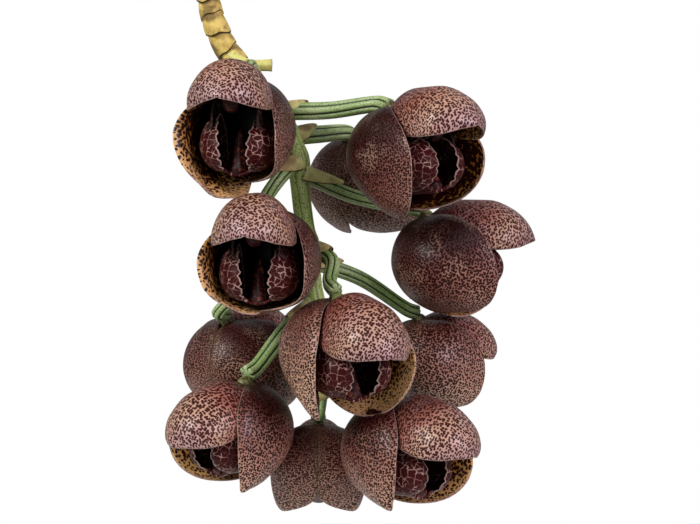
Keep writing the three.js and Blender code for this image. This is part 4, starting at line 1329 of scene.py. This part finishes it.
@dataclass
class Stalk:
    """The woody stalk, sheathed by overlapping dry bracts, with one cut stub near its lower end."""

    radius: float = 4.4
    sheaths: int = 26
    rows_each: int = 12
    sides: int = 48
    finish: PaperySheath = PaperySheath("dry stalk sheath", roughness=0.62, specular=0.3)
    stub_finish: PaperySheath = PaperySheath("cut green stub", roughness=0.55, specular=0.3,
                                             ground="#CBC878", streak="#A7A455", age="#9C8A48")

    def path(self) -> Path:
        """The stalk's line, up from the bark, over the rim and down to the green axis."""
        over = [(40, -42, BARK_TOP - 8), (40.5, -43, BARK_TOP + 5), (42, -45.5, RIM_HEIGHT + 3),
                (48, -54, RIM_HEIGHT + 13.5), (57, -66, RIM_HEIGHT + 13), (63.5, -74, RIM_HEIGHT),
                (65, -76, RIM_HEIGHT - 22), (64, -75, RIM_HEIGHT - 60), (61, -73, RIM_HEIGHT - 100),
                (58.5, -71, RIM_HEIGHT - 130)]
        hanging = [(-44, 5, -4), (-40.5, 5, -14), (-37, 6, -21), (-32, 7, -28)]
        return Path(over + [tuple(SPIKE + p) for p in hanging])

    def lip(self, k: int, angle: Array) -> Array:
        """How far the lip between two sheaths runs along, in millimetres, by angle round the stalk."""
        if k in (0, self.sheaths):
            return np.zeros_like(angle)
        return 1.3 * np.cos(angle - 2.4 * k) + 0.45 * np.sin(4 * angle + 3 * k)

    def build(self) -> None:
        """Builds the sheaths as one stepped skin: each widens to a thin lip that the next one leaves,
        and the lip runs further along on one side than on the other."""
        path = self.path()
        ends = (np.arange(self.sheaths + 1) / self.sheaths) ** 0.85
        angle = round_row(self.sides)
        within = down_rows(self.rows_each)
        rows, edges = [], []
        for k in range(self.sheaths):
            before = self.lip(k, angle) / path.length
            skew = self.lip(k + 1, angle) / path.length
            share = ends[k] + before + (ends[k + 1] + skew - ends[k] - before) * within
            wide = self.radius + 0.9 * ends[k + 1] ** 2 + 0.2 * np.sin(k * 3.4)
            radius = wide - 0.5 + 0.75 * within**2 + 0.45 * np.sin(np.pi * within)
            radius = radius + 0.1 * np.sin(9 * angle + k)
            rows.append(path.ring(np.clip(share, 0, 1), angle, radius))
            edges.append(np.broadcast_to(within**3, (self.rows_each, self.sides)))
        skin = Skin()
        skin.add_tube(np.concatenate(rows), margin=np.concatenate(edges))
        spur = Path([SPIKE + p for p in ((-35.5, 4, -23.5), (-27, -1, -28.6), (-16.7, -1.5, -29))])
        share = down_rows(20)
        reach = 2.7 - 0.4 * share + 0.5 * share**8 + 0.14 * np.sin(5 * angle + 2 * share)
        skin.add_tube(spur.ring(share, angle, reach), 1, margin=0.5 * (share > 0.94))
        coats = [self.finish.material(), self.stub_finish.material()]
        dress(skin.piece("stalk_sheaths", coats), Slot.STALK, "stalk")


@dataclass(frozen=True)
class Bloom:
    """Where a flower hangs and how it stands, in the spike's frame.

    Turns are in degrees: yaw 0 faces the front of the plant, pitch lifts its face, and gape lets its
    lower parts drop from the hood. For the right and the left side sepal, wide is how far it bulges,
    slim cuts back its front, flare spreads it, sag makes its bottom longer and tip draws out its tip in
    millimetres. close draws both tips in, stem is the radius of the flower's own stem, arrive is how
    high that comes in, and bract is the length of the bract at its foot. tone makes its bowl paler.
    """

    at: tuple[float, float, float]
    root: tuple[float, float, float]
    yaw: float
    pitch: float = 0.0
    gape: float = 0.0
    size: float = 1.0
    wide: tuple[float, float] = (1.0, 1.0)
    slim: tuple[float, float] = (0.0, 0.0)
    flare: tuple[float, float] = (0.0, 0.0)
    sag: tuple[float, float] = (0.0, 0.0)
    tip: tuple[float, float] = (0.0, 0.0)
    close: float = 0.0
    stem: float = 3.4
    arrive: float = 4.2
    bow: tuple[float, float, float] = (0.0, 0.0, 0.0)
    bract: float = 13.0
    # tone: a positive tone makes the bowl paler and a negative one darker; partly real variation between
    # flowers and partly painted light and shade, darker on flowers that hang in shade and paler on lit
    # ones
    tone: float = 0.0

    def placed(self, points: Array) -> Array:
        """Points of the flower's own frame, put into the plant's: X forward, Y to the side, Z up."""
        yaw, pitch = np.radians(self.yaw), np.radians(self.pitch)
        forward = np.array([np.sin(yaw) * np.cos(pitch), -np.cos(yaw) * np.cos(pitch), np.sin(pitch)])
        side = np.array([np.cos(yaw), np.sin(yaw), 0.0])
        axes = np.stack([forward, side, np.cross(forward, side)]) * self.size
        return points @ axes + SPIKE + np.array(self.at)

    def dropped(self, points: Array) -> Array:
        """Points of the flower's own frame, turned down about its joint by the gape."""
        gape = np.radians(self.gape)
        turn = np.array([[np.cos(gape), 0, np.sin(gape)], [0, 1, 0], [-np.sin(gape), 0, np.cos(gape)]])
        return points @ turn.T

    def pedicel(self) -> Path:
        """The line of the flower's own stem, from the axis to its joint."""
        tip = self.placed(np.array([-3.5 + 0.03 * self.gape, 0.0, self.arrive - 0.7 - 0.02 * self.gape]))
        before = self.placed(np.array([-9.0, 0.0, self.arrive + 0.12 * self.gape]))
        root = SPIKE + np.array(self.root)
        arch = 0.07 * np.hypot(*(root - before)[:2])
        middle = (root + before) / 2 + np.array(self.bow) + [0.0, 0.0, arch]
        return Path([root, middle, before, tip])


BLOOMS = (
    Bloom((-27.8, -19, -37), (-17, 8.5, -48), -12, gape=24, wide=(1.05, 0.87), flare=(0.35, -0.04),
          sag=(0.3, 0), tip=(2, 0), close=0.6, bow=(0, 0, -2)),
    Bloom((36.8, -15, -49), (-14, 7, -48.5), 45, 2, 7, 1.03, tone=-0.32, flare=(0, 0.08),
          sag=(0.2, 0), stem=4, arrive=2, bow=(0, 0, -4.5)),
    Bloom((20, 34, -59.2), (-8, 8, -59.5), 150, gape=5, slim=(0.5, 0.5), stem=4, arrive=1.5,
          bow=(0, 0, -2)),
    Bloom((52, 4, -95.5), (-4, 2, -76), 90, tone=-0.22, slim=(0.8, 0), sag=(0, 0.15), bow=(0, 5.5, -6),
          bract=20),
    Bloom((-19.6, -20, -93), (-6, 2, -71), -8, -2, 18, flare=(0.35, -0.04), tip=(2, 0), close=1.1),
    Bloom((12.6, -30, -132), (0.5, 0, -109), 30, -16, 6, 1.03, tone=0.28, slim=(0.85, 0),
          flare=(-0.04, 0.12), sag=(0, 0.18), tip=(4, 0), bow=(5, 0, 0)),
    Bloom((-36.5, 20, -142), (-1.5, 5, -110), 152, slim=(0.5, 0.5)),
    Bloom((-28.6, -15, -168.5), (1.5, 1, -134), -48, -21, -1, 0.96, wide=(1, 0.9), slim=(0, 1),
          flare=(0.12, -0.04), tip=(0, 2.5), stem=4),
    Bloom((3.5, 13, -188), (4.5, 10, -172), 180, -18, 4, 0.86, slim=(0.3, 0.3), close=-0.27, bract=6),
    Bloom((37.5, -15, -176.5), (4, 4, -154), 48, -14, 7, slim=(1, 0), flare=(-0.04, 0.12),
          sag=(-0.08, 0), tip=(1.5, 0)),
    Bloom((49.4, 22, -141.5), (1, 4, -115), 122, -10, size=0.88, tone=0.2, slim=(0.9, 0.8)),
)


@dataclass
class Spike:
    """The green axis with a ribbed stem and a papery bract for every flower."""

    ribs: int = 6
    axis_finish: GreenStem = GreenStem("speckled green stem", roughness=0.45, specular=0.35,
                                       rib="#92A858", pale="#B9C67E", speck="#26351A", speck_size=1.1)
    stem_finish: GreenStem = GreenStem("ribbed green stem", roughness=0.4, specular=0.4)
    bract_finish: PaperySheath = PaperySheath("papery bract", roughness=0.6, specular=0.3,
                                              ground="#C5BD7C", streak="#9A9C5C", age="#8A6A48",
                                              edge="#5E4026", start_edge=0.7)

    def axis(self) -> Skin:
        """The axis: a tapering stem, swollen where each flower's stem leaves it, faintly ribbed."""
        path = Path([SPIKE + p for p in (
            (-31.2, 7.2, -29.3), (-30, 7.6, -31.2), (-28, 8.3, -36), (-20.5, 9, -46), (-12, 6.5, -55),
            (-6, 4, -68), (-4.5, 3, -81.5), (-3, 2, -94.5), (-0.5, 2, -110), (1.5, 3, -125.5),
            (3, 4, -141), (4, 7, -158.5), (4.5, 10, -174))])
        girth = through([(0, 4.6), (0.2, 4.7), (0.4, 4.3), (0.7, 3.8), (1.0, 2.8)])
        share = down_rows(200)
        angle = round_row(64)
        height = path.read(path.points, share[:, 0])[:, 2][:, None]
        swell = sum(0.7 * bell(height, SPIKE[2] + bloom.root[2] + 2.0, 3.5) for bloom in BLOOMS)
        groove = (0.5 + 0.5 * np.cos(5 * angle + 9 * share)) ** 6
        radius = (girth(share) + np.minimum(swell, 1.0)) * (1 - 0.07 * groove)
        skin = Skin()
        skin.add_tube(path.ring(share, angle, radius), margin=0.75 * groove)
        return skin

    def stem(self, bloom: Bloom) -> tuple[Array, Array]:
        """A flower's stem: rounded ribs with sharp grooves, a little wider at both ends.

        Args:
            bloom: The flower that it carries.

        Returns:
            Its points by ring and column, and the depth of the groove at each.
        """
        path = bloom.pedicel()
        share = down_rows(60)
        angle = round_row(12 * self.ribs)
        groove = (0.5 - 0.5 * np.cos(self.ribs * angle + 1.2 * share)) ** 3
        ends = 0.12 * bell(share, 1.0, 0.12) + 0.1 * bell(share, 0.0, 0.1)
        radius = bloom.stem * (1.08 - 0.2 * share + ends) * (1 - 0.2 * groove)
        return path.ring(share, angle, radius), groove

    def bract(self, bloom: Bloom) -> tuple[Array, Array]:
        """A bract: a half funnel round the foot of a stem, drawn out to a point above it.

        Args:
            bloom: The flower whose stem it wraps.

        Returns:
            Its points by row and column, and how near each is to the edge.
        """
        path = bloom.pedicel()
        along = unit(path.read(path.points, np.array(12.0 / path.length)) - path.points[0])
        up = unit(np.array([0.0, 0.0, 1.0]) - along * along[2])
        beside = np.cross(along, up)
        u = down_rows(26)
        v = across_row(21)
        wrap = np.radians(118) * v * (1 - 0.25 * u)
        reach = 4.7 * (1 - u**2.2) ** 0.8 + 0.25
        lift = 0.6 + 3.6 * u**1.6
        foot = path.points[0] + along * 0.5
        out = np.cos(wrap)[..., None] * up + np.sin(wrap)[..., None] * beside
        points = foot + (bloom.bract * u)[..., None] * along + lift[..., None] * up
        points = points + (reach * (1 - 0.1 * v**2))[..., None] * out - (reach * 0.35)[..., None] * up
        edge = np.maximum(np.abs(v) ** 6, u**5)
        return points, np.broadcast_to(edge, points.shape[:2])

    def build(self) -> None:
        """Builds the axis, the eleven stems and their bracts."""
        dress(self.axis().piece("spike_axis", [self.axis_finish.material()]), Slot.RACHIS, "rachis")
        stems, bracts = Skin(), Skin()
        for bloom in BLOOMS:
            points, groove = self.stem(bloom)
            stems.add_tube(points, margin=groove)
            points, edge = self.bract(bloom)
            bracts.add_shell(points, 0.45, margin=edge, flip=True)
        dress(stems.piece("flower_stems", [self.stem_finish.material()]), Slot.RACHIS, "rachis")
        dress(bracts.piece("bracts", [self.bract_finish.material()]), Slot.RACHIS, "rachis")


# Flowers


@dataclass(frozen=True)
class FlowerFinishes:
    """The finishes that all flowers share."""

    hood: bpy.types.Material
    bowl: bpy.types.Material
    lining: bpy.types.Material
    lip: bpy.types.Material
    petal: bpy.types.Material
    callus: bpy.types.Material
    column: bpy.types.Material
    joint: bpy.types.Material

    @classmethod
    def made(cls) -> FlowerFinishes:
        """Builds the materials once for all flowers."""
        return cls(
            hood=SpottedSepal("spotted hood skin", roughness=0.36, specular=0.5).material(),
            bowl=SpottedSepal("spotted sepal skin", roughness=0.38, specular=0.42, grain=1.2, dot=0.37,
                              foot="#280B0B", shade="#451C1A", flank="#764A40", face="#986E5E",
                              tip="#B28F78", dots="#200403").material(),
            lining=SepalLining("waxy sepal lining", roughness=0.35, specular=0.45).material(),
            lip=NettedLip("netted lip flesh", roughness=0.45, specular=0.1).material(),
            petal=NettedLip("maroon petal flesh", roughness=0.5, specular=0.12, thread=0.02,
                            ground="#1C0707", rim=0.1).material(),
            callus=StainedFlesh("waxy callus", roughness=0.45, specular=0.25, ground="#74382A", patch=1.8,
                                cover=0.58).material(),
            column=StainedFlesh("waxy column", roughness=0.5, specular=0.2, cover=0.6).material(),
            joint=StainedFlesh("flower joint", roughness=0.5, ground="#727C42",
                               stain="#4A3822").material(),
        )


SEPAL_LENGTH = 48.0  # from the joint to the tip of a side sepal, in millimetres
EDGE_ZONE = 30.0  # how far from a sepal's edge its material can tell the distance, in millimetres

# Outlines of a flower's parts: reach and edge of a side sepal by angle in degrees, and the hood's crest
# and rim by the share of its length
FULL_REACH = through([
    (-256, 22), (-219, 24.3), (-183, 23.8), (-150, 22.4), (-122, 21.4), (-95, 21.2), (-68, 22.2),
    (-56, 22.9), (-44, 23.9), (-31, 24.8), (-20, 25.3), (-8, 25.5), (6, 25.1), (20, 23.9), (35, 22.2),
    (50, 21), (65, 20.7), (87, 21.6), (104, 22)])
SLIM_REACH = through([
    (-256, 22), (-219, 24.3), (-183, 23.8), (-150, 22.4), (-122, 21.4), (-95, 21.2), (-68, 23.2),
    (-56, 24.9), (-44, 26), (-31, 24.9), (-20, 23), (-8, 21.2), (6, 19.8), (20, 19.2), (35, 19.4),
    (50, 20), (65, 20.6), (87, 21.6), (104, 22)])
SEPAL_EDGE = through([
    (-256, 0.2), (-219, 0), (-183, 0), (-134, 0), (-95, 0.14), (-68, 0.38), (-50, 0.56), (-38, 0.68),
    (-30, 0.75), (-18, 0.83), (-4, 0.88), (16, 0.9), (44, 0.8), (65, 0.67), (87, 0.45), (104, 0.2)])
HOOD_SHARES = (0.0, 0.12, 0.3, 0.5, 0.7, 0.86, 0.95, 1.0)
CREST_FORWARD = through(list(zip(HOOD_SHARES, (0, 5, 15, 27, 37.5, 44, 46.5, 47.5))))
CREST_UP = through(list(zip(HOOD_SHARES, (0, 4, 7.8, 7.6, 3.6, -2.4, -7, -10))))
RIM_FORWARD = through(list(zip(HOOD_SHARES, (0, 3, 11, 21.5, 31, 39, 44, 47.2))))
RIM_SIDE = through(list(zip(HOOD_SHARES, (2, 7.4, 14, 17.6, 17, 12.4, 6.6, 0.8))))
RIM_UP = through(list(zip(HOOD_SHARES, (-1, -4, -9.5, -13.5, -14.5, -13.6, -11.8, -10.6))))


@dataclass
class Flower:
    """One nodding flower: a hood over two deep side sepals that close into a globe round the lip.

    Its own frame has X forward out of its mouth, Y to its side, Z up, and its joint at the origin.
    """

    bloom: Bloom
    number: int
    finishes: FlowerFinishes
    sepal_depth: float = 25.0
    sepal_thickness: float = 1.2
    petal_thickness: float = 0.9
    middle: tuple[float, float] = (7.5, -20.5)
    hood_bend: float = 1.68
    lobe_edge: float = 12.0  # how wide the lip's pale margin may grow

    def hung(self, points: Array) -> Array:
        """Points of the flower's lower parts, dropped by its gape and put into the plant's frame."""
        return self.bloom.placed(self.bloom.dropped(points))

    def side_sepal(self, skin: Skin, side: Side) -> None:
        """A side sepal: a bowl by angle round its middle and tilt from its crown to its edge. Its reach
        is the outline times the sine of the tilt, and its depth falls off by the cosine to the share
        that the edge keeps.

        Args:
            skin: Where it goes.
            side: Which of the two it is.
        """
        angle = np.linspace(-256.0, 104.0, 120, endpoint=False)[None, :]
        share = down_rows(34) ** 0.9
        tilt = share * np.pi / 2
        bloom, left = self.bloom, side is Side.LEFT
        slim, flare = bloom.slim[left], bloom.flare[left]
        outline = FULL_REACH(angle) * (1 - slim) + SLIM_REACH(angle) * slim
        outline = outline * (1 + bloom.sag[left] * bell(angle, -60, 35))
        outline = outline + bloom.tip[left] * bell(angle, -42, 7)
        openness = smoothstep(0.0, 0.25, SEPAL_EDGE(angle))
        edge = SEPAL_EDGE(angle) + flare * bell(angle, 22, 52) - bloom.close * bell(angle, -68, 28)
        reach = outline * np.sin(tilt)
        deep = self.sepal_depth * bloom.wide[left] * (1 - 0.6 * max(flare, 0.0))
        depth = deep * (1 - (1 - np.maximum(0.0, edge)) * (1 - np.cos(tilt)))
        turn = np.radians(angle)
        local = np.stack([self.middle[0] + reach * np.cos(turn), side.value * depth,
                          self.middle[1] + reach * np.sin(turn)], -1)
        # the bloom's tone shifts the bowl's colours, partly real variation and partly painted light and
        # shade
        along = np.clip(np.hypot(local[..., 0], local[..., 2]) / SEPAL_LENGTH, 0.0, 1.0) + bloom.tone
        run = run_down(local)
        margin = 1 - (run[-1:] - run) / EDGE_ZONE
        mouth = np.clip(margin, 0.0, 1.0) * openness
        points = self.hung(local)
        skin.add_shell(points, self.sepal_thickness * (1 - 0.5 * share**6), (1, 2), along, margin, mouth,
                       wrap=True, pole=True, flip=side is Side.RIGHT)

    def hood(self, skin: Skin) -> None:
        """The hood: from a crest line to a rim line, bent round by the sine and cosine of the angle
        across it, with the last of its rim rolled a little outwards.

        Args:
            skin: Where it goes.
        """
        u = down_rows(56)
        v = across_row(61)
        bend = np.abs(v) * self.hood_bend
        drop = (1 - np.cos(bend)) / (1 - np.cos(self.hood_bend))
        side = np.sign(v) * np.sin(bend) / np.sin(self.hood_bend)
        forward = CREST_FORWARD(u) * (1 - drop) + RIM_FORWARD(u) * drop
        up = CREST_UP(u) * (1 - drop) + RIM_UP(u) * drop
        local = np.stack([forward, RIM_SIDE(u) * side, up], -1)
        from_tip = run_down(local[::-1])[::-1]
        from_side = run_down(local.transpose(1, 0, 2)).T
        from_side = np.minimum(from_side, from_side[:, -1:] - from_side)
        margin = 1 - np.minimum(from_side, from_tip) / EDGE_ZONE
        mouth = np.clip(margin, 0.0, 1.0) * smoothstep(0.1, 0.4, u)
        thin = 1 - 0.5 * np.abs(v) ** 8
        skin.add_shell(self.bloom.placed(local), self.sepal_thickness * thin, (0, 2),
                       u * np.ones_like(v), margin, mouth, flip=True)

    def petal(self, skin: Skin, side: Side) -> None:
        """A petal: a small blade between the hood and a side sepal.

        Args:
            skin: Where it goes.
            side: Which of the two it is.
        """
        u = down_rows(26)
        v = across_row(13)
        half = 4.8 * np.sin(np.pi * (0.06 + 0.86 * u)) ** 0.8
        length = np.hypot(25.0, 3 + 16 * u)
        out = 2.2 + 9.5 * np.sin(np.pi / 2 * np.minimum(1, 1.3 * u)) - 1.5 * v * u
        local = np.stack(np.broadcast_arrays(25 * u + (3 + 16 * u) / length * half * v, side.value * out,
                                             -2.3 - 4 * u - 6 * u**2 + 25 / length * half * v), -1)
        edge = np.broadcast_to(np.maximum(np.abs(v), u**6), local.shape[:2])
        skin.add_shell(self.hung(local), self.petal_thickness, (2, 2), margin=edge,
                       flip=side is Side.RIGHT)

    def lip_lobe(self, skin: Skin, side: Side) -> None:
        """A side lobe of the lip: an egg-shaped cup, open to the middle, by angle round its crown and
        tilt from it. It wraps furthest round in front, where its margin is scalloped.

        Args:
            skin: Where it goes.
            side: Which of the two it is.
        """
        angle = np.linspace(-np.pi, np.pi, 110, endpoint=False)[None, :]
        share = down_rows(30)
        front = 0.5 + 0.5 * np.cos(angle + 0.25)
        scallop = (0.05 * np.sin(17 * angle) + 0.03 * np.sin(31 * angle + 1)) * front
        tilt = share * (1.2 + 0.46 * front + scallop * share**3)
        local = np.stack([16 + 17.0 * np.sin(tilt) * np.cos(angle),
                          side.value * (6.8 + 11.2 * np.cos(tilt)),
                          -22 + 12.2 * np.sin(tilt) * np.sin(angle)], -1)
        edge = 1 - (run_down(local)[-1:] - run_down(local)) / self.lobe_edge
        skin.add_shell(self.hung(local), self.petal_thickness * (1 - 0.6 * share**6),
                       (0, 0), margin=edge, wrap=True, pole=True, flip=side is Side.RIGHT)

    def lip_floor(self, skin: Skin) -> None:
        """The lip's floor: a shallow trough under the lobes."""
        u = down_rows(26)
        v = across_row(25)
        half = through([(0, 4.5), (0.5, 13.5), (1, 7)])(u)
        local = np.stack(np.broadcast_arrays(-8 + 36 * u, -half * v, -35 + 3.4 * v**2 + 3 * u**2), -1)
        skin.add_shell(self.hung(local), self.sepal_thickness, (0, 0))

    def callus(self, skin: Skin) -> None:
        """The callus: a fleshy ridge that climbs from the lip's floor and narrows to a blunt point."""
        path = Path([(27, 0, -33.5), (24.5, 0, -30), (20.5, 0, -25), (17, 0, -19.5), (15.5, 0, -16)])
        share = down_rows(40)
        angle = round_row(32)
        radius = (4.2 - 3.0 * share) * np.sqrt(np.clip(np.minimum(share * 9, (1 - share) * 7), 0.03, 1.0))
        radius = radius * (1 + 0.05 * np.sin(6 * angle + 8 * share))
        skin.add_tube(self.hung(path.ring(share, angle, radius)), 1)

    def column(self, skin: Skin) -> None:
        """The column: a club that leans forward under the hood, with a swollen cap at its tip."""
        path = Path([(1.5, 0, -2.5), (10, 0, -5.5), (20, 0, -8.5), (27, 0, -13)])
        share = down_rows(40)
        angle = round_row(32)
        cap = 0.7 * bell(share, 0.9, 0.07)
        radius = (1.8 + 2.0 * np.sin(0.8 * np.pi * share) + cap) * (1 - 0.12 * np.cos(2 * angle))
        radius = radius * np.sqrt(np.clip((1 - share) * 12, 0.02, 1.0))
        skin.add_tube(self.bloom.placed(path.ring(share, angle, radius)), 0)

    def joint(self, skin: Skin) -> None:
        """The swollen joint where all the parts meet: a ball a little longer than wide."""
        tilt = np.linspace(0.06, np.pi - 0.06, 18)[:, None]
        angle = round_row(28)
        out = 3.5 * np.sin(tilt)
        local = np.stack(np.broadcast_arrays(-1 - 3.9 * np.cos(tilt), out * np.cos(angle),
                                             out * np.sin(angle)), -1)
        skin.add_tube(self.bloom.placed(local), 1)

    def build(self) -> None:
        """Builds the flower's sepals, its lip with the petals, and its column."""
        finishes, node = self.finishes, f"bloom_{self.number:02d}"
        sepals, lip, column = Skin(), Skin(), Skin()
        self.hood(sepals)
        for side in Side:
            self.side_sepal(sepals, side)
            self.petal(lip, side)
            self.lip_lobe(lip, side)
        self.lip_floor(lip)
        self.callus(lip)
        self.column(column)
        self.joint(column)
        parts = (("sepals", sepals, [finishes.hood, finishes.bowl, finishes.lining]),
                 ("lip", lip, [finishes.lip, finishes.callus, finishes.petal]),
                 ("column", column, [finishes.column, finishes.joint]))
        for part, skin, coats in parts:
            dress(skin.piece(f"{node}_{part}", coats), Slot.BLOOM, node)


# Studio


@dataclass
class Studio:
    """A white studio: soft lights, a pale floor that fades into the white round it, and the camera."""

    camera_place: tuple[float, float, float] = (0.1216, -1.174, -0.5193)
    lens: float = 128.6
    sensor: float = 36.0
    floor_height: float = -0.70
    floor_radius: float = 0.52
    light_size: float = 0.8

    def camera(self) -> None:
        """Puts the camera level with the spike, looking along Y."""
        data = bpy.data.cameras.new("camera")
        data.lens, data.sensor_width = self.lens, self.sensor
        made = bpy.data.objects.new("camera", data)
        made.location = self.camera_place
        made.rotation_euler = (np.pi / 2, 0.0, 0.0)
        bpy.context.scene.collection.objects.link(made)
        bpy.context.scene.camera = made

    def light(self, name: str, place: Sequence[float], aim: Sequence[float], power: float,
              colour: Sequence[float]) -> None:
        """Adds a square soft light.

        Args:
            name: The light's name.
            place: Where it stands.
            aim: What it looks at.
            power: Its power in watts.
            colour: Its linear colour.
        """
        data = bpy.data.lights.new(name, "AREA")
        data.size, data.energy, data.color = self.light_size, power, colour
        made = bpy.data.objects.new(name, data)
        made.location = place
        made.rotation_euler = (Vector(aim) - Vector(place)).to_track_quat("-Z", "Y").to_euler()
        bpy.context.scene.collection.objects.link(made)

    def sky(self) -> None:
        """Makes a white surround that lights the plant softly, more from above than from below."""
        world = bpy.data.worlds.new("studio")
        world.use_nodes = True
        tree = world.node_tree
        tree.nodes.clear()
        place = add_node(tree, "ShaderNodeTexCoord")
        height = add_node(tree, "ShaderNodeSeparateXYZ", links={0: (place, "Generated")})
        tone = add_node(tree, "ShaderNodeMapRange", {"From Min": -1.0, "To Min": 0.12, "To Max": 0.5},
                        {"Value": (height, "Z")})
        seen = add_node(tree, "ShaderNodeLightPath")
        strength = add_node(tree, "ShaderNodeMix", {"B": 1.0},
                            {0: (seen, "Is Camera Ray"), "A": (tone, 0)})
        white = add_node(tree, "ShaderNodeBackground", links={"Strength": (strength, 0)})
        white.inputs["Color"].default_value = (1.0, 1.0, 1.0, 1.0)
        add_node(tree, "ShaderNodeOutputWorld", links={"Surface": (white, 0)})
        bpy.context.scene.world = world

    def floor(self) -> None:
        """Lays a round pale floor whose far part fades into the white."""
        rings = turned([(r, self.floor_height / METRE) for r in (560.0, 400.0, 250.0, 2.0)], 64)
        skin = Skin()
        skin.add(rings.reshape(-1, 3), grid_faces(4, 64, True, False), 0, (0.0, 0.0, 0.0))
        material, tree, shader = Finish("studio floor", roughness=0.9, specular=0.1).start()
        shader.inputs["Base Color"].default_value = linear("#F4F4F2")
        place = add_node(tree, "ShaderNodeTexCoord")
        flat = add_node(tree, "ShaderNodeVectorMath", {"operation": "MULTIPLY", 1: (1.0, 1.0, 0.0)},
                        {0: (place, "Object")})
        away = add_node(tree, "ShaderNodeVectorMath", {"operation": "LENGTH"}, {0: (flat, 0)})
        solid = add_node(tree, "ShaderNodeMapRange", {
            "interpolation_type": "SMOOTHSTEP", "From Min": 0.2, "From Max": self.floor_radius,
            "To Min": 1.0, "To Max": 0.0}, {"Value": (away, "Value")})
        connect(tree, shader, {"Alpha": (solid, 0)})
        skin.piece("studio_floor", [material])

    def build(self) -> None:
        """Builds the studio."""
        self.camera()
        self.sky()
        self.floor()
        spike = (0.12, -0.07, -0.5)
        self.light("key_light", (-1.0, -1.2, 0.35), spike, 27.0, (1.0, 0.98, 0.94))
        self.light("fill_light", (1.2, -1.1, -0.1), spike, 16.0, (1.0, 0.86, 1.0))
        bpy.context.scene.view_settings.view_transform = "Standard"


def main() -> None:
    """Builds the studio and the plant, in order."""
    logging.basicConfig(level=logging.INFO, format="%(message)s")
    Studio().build()
    Pot().build()
    Bark().build()
    Hanger().build()
    Bulbs().build()
    LeafTufts().build()
    Stalk().build()
    Spike().build()
    finishes = FlowerFinishes.made()
    for number, bloom in enumerate(BLOOMS, 1):
        Flower(bloom, number, finishes).build()
    bpy.context.view_layer.update()


if __name__ == "__main__":
    main()
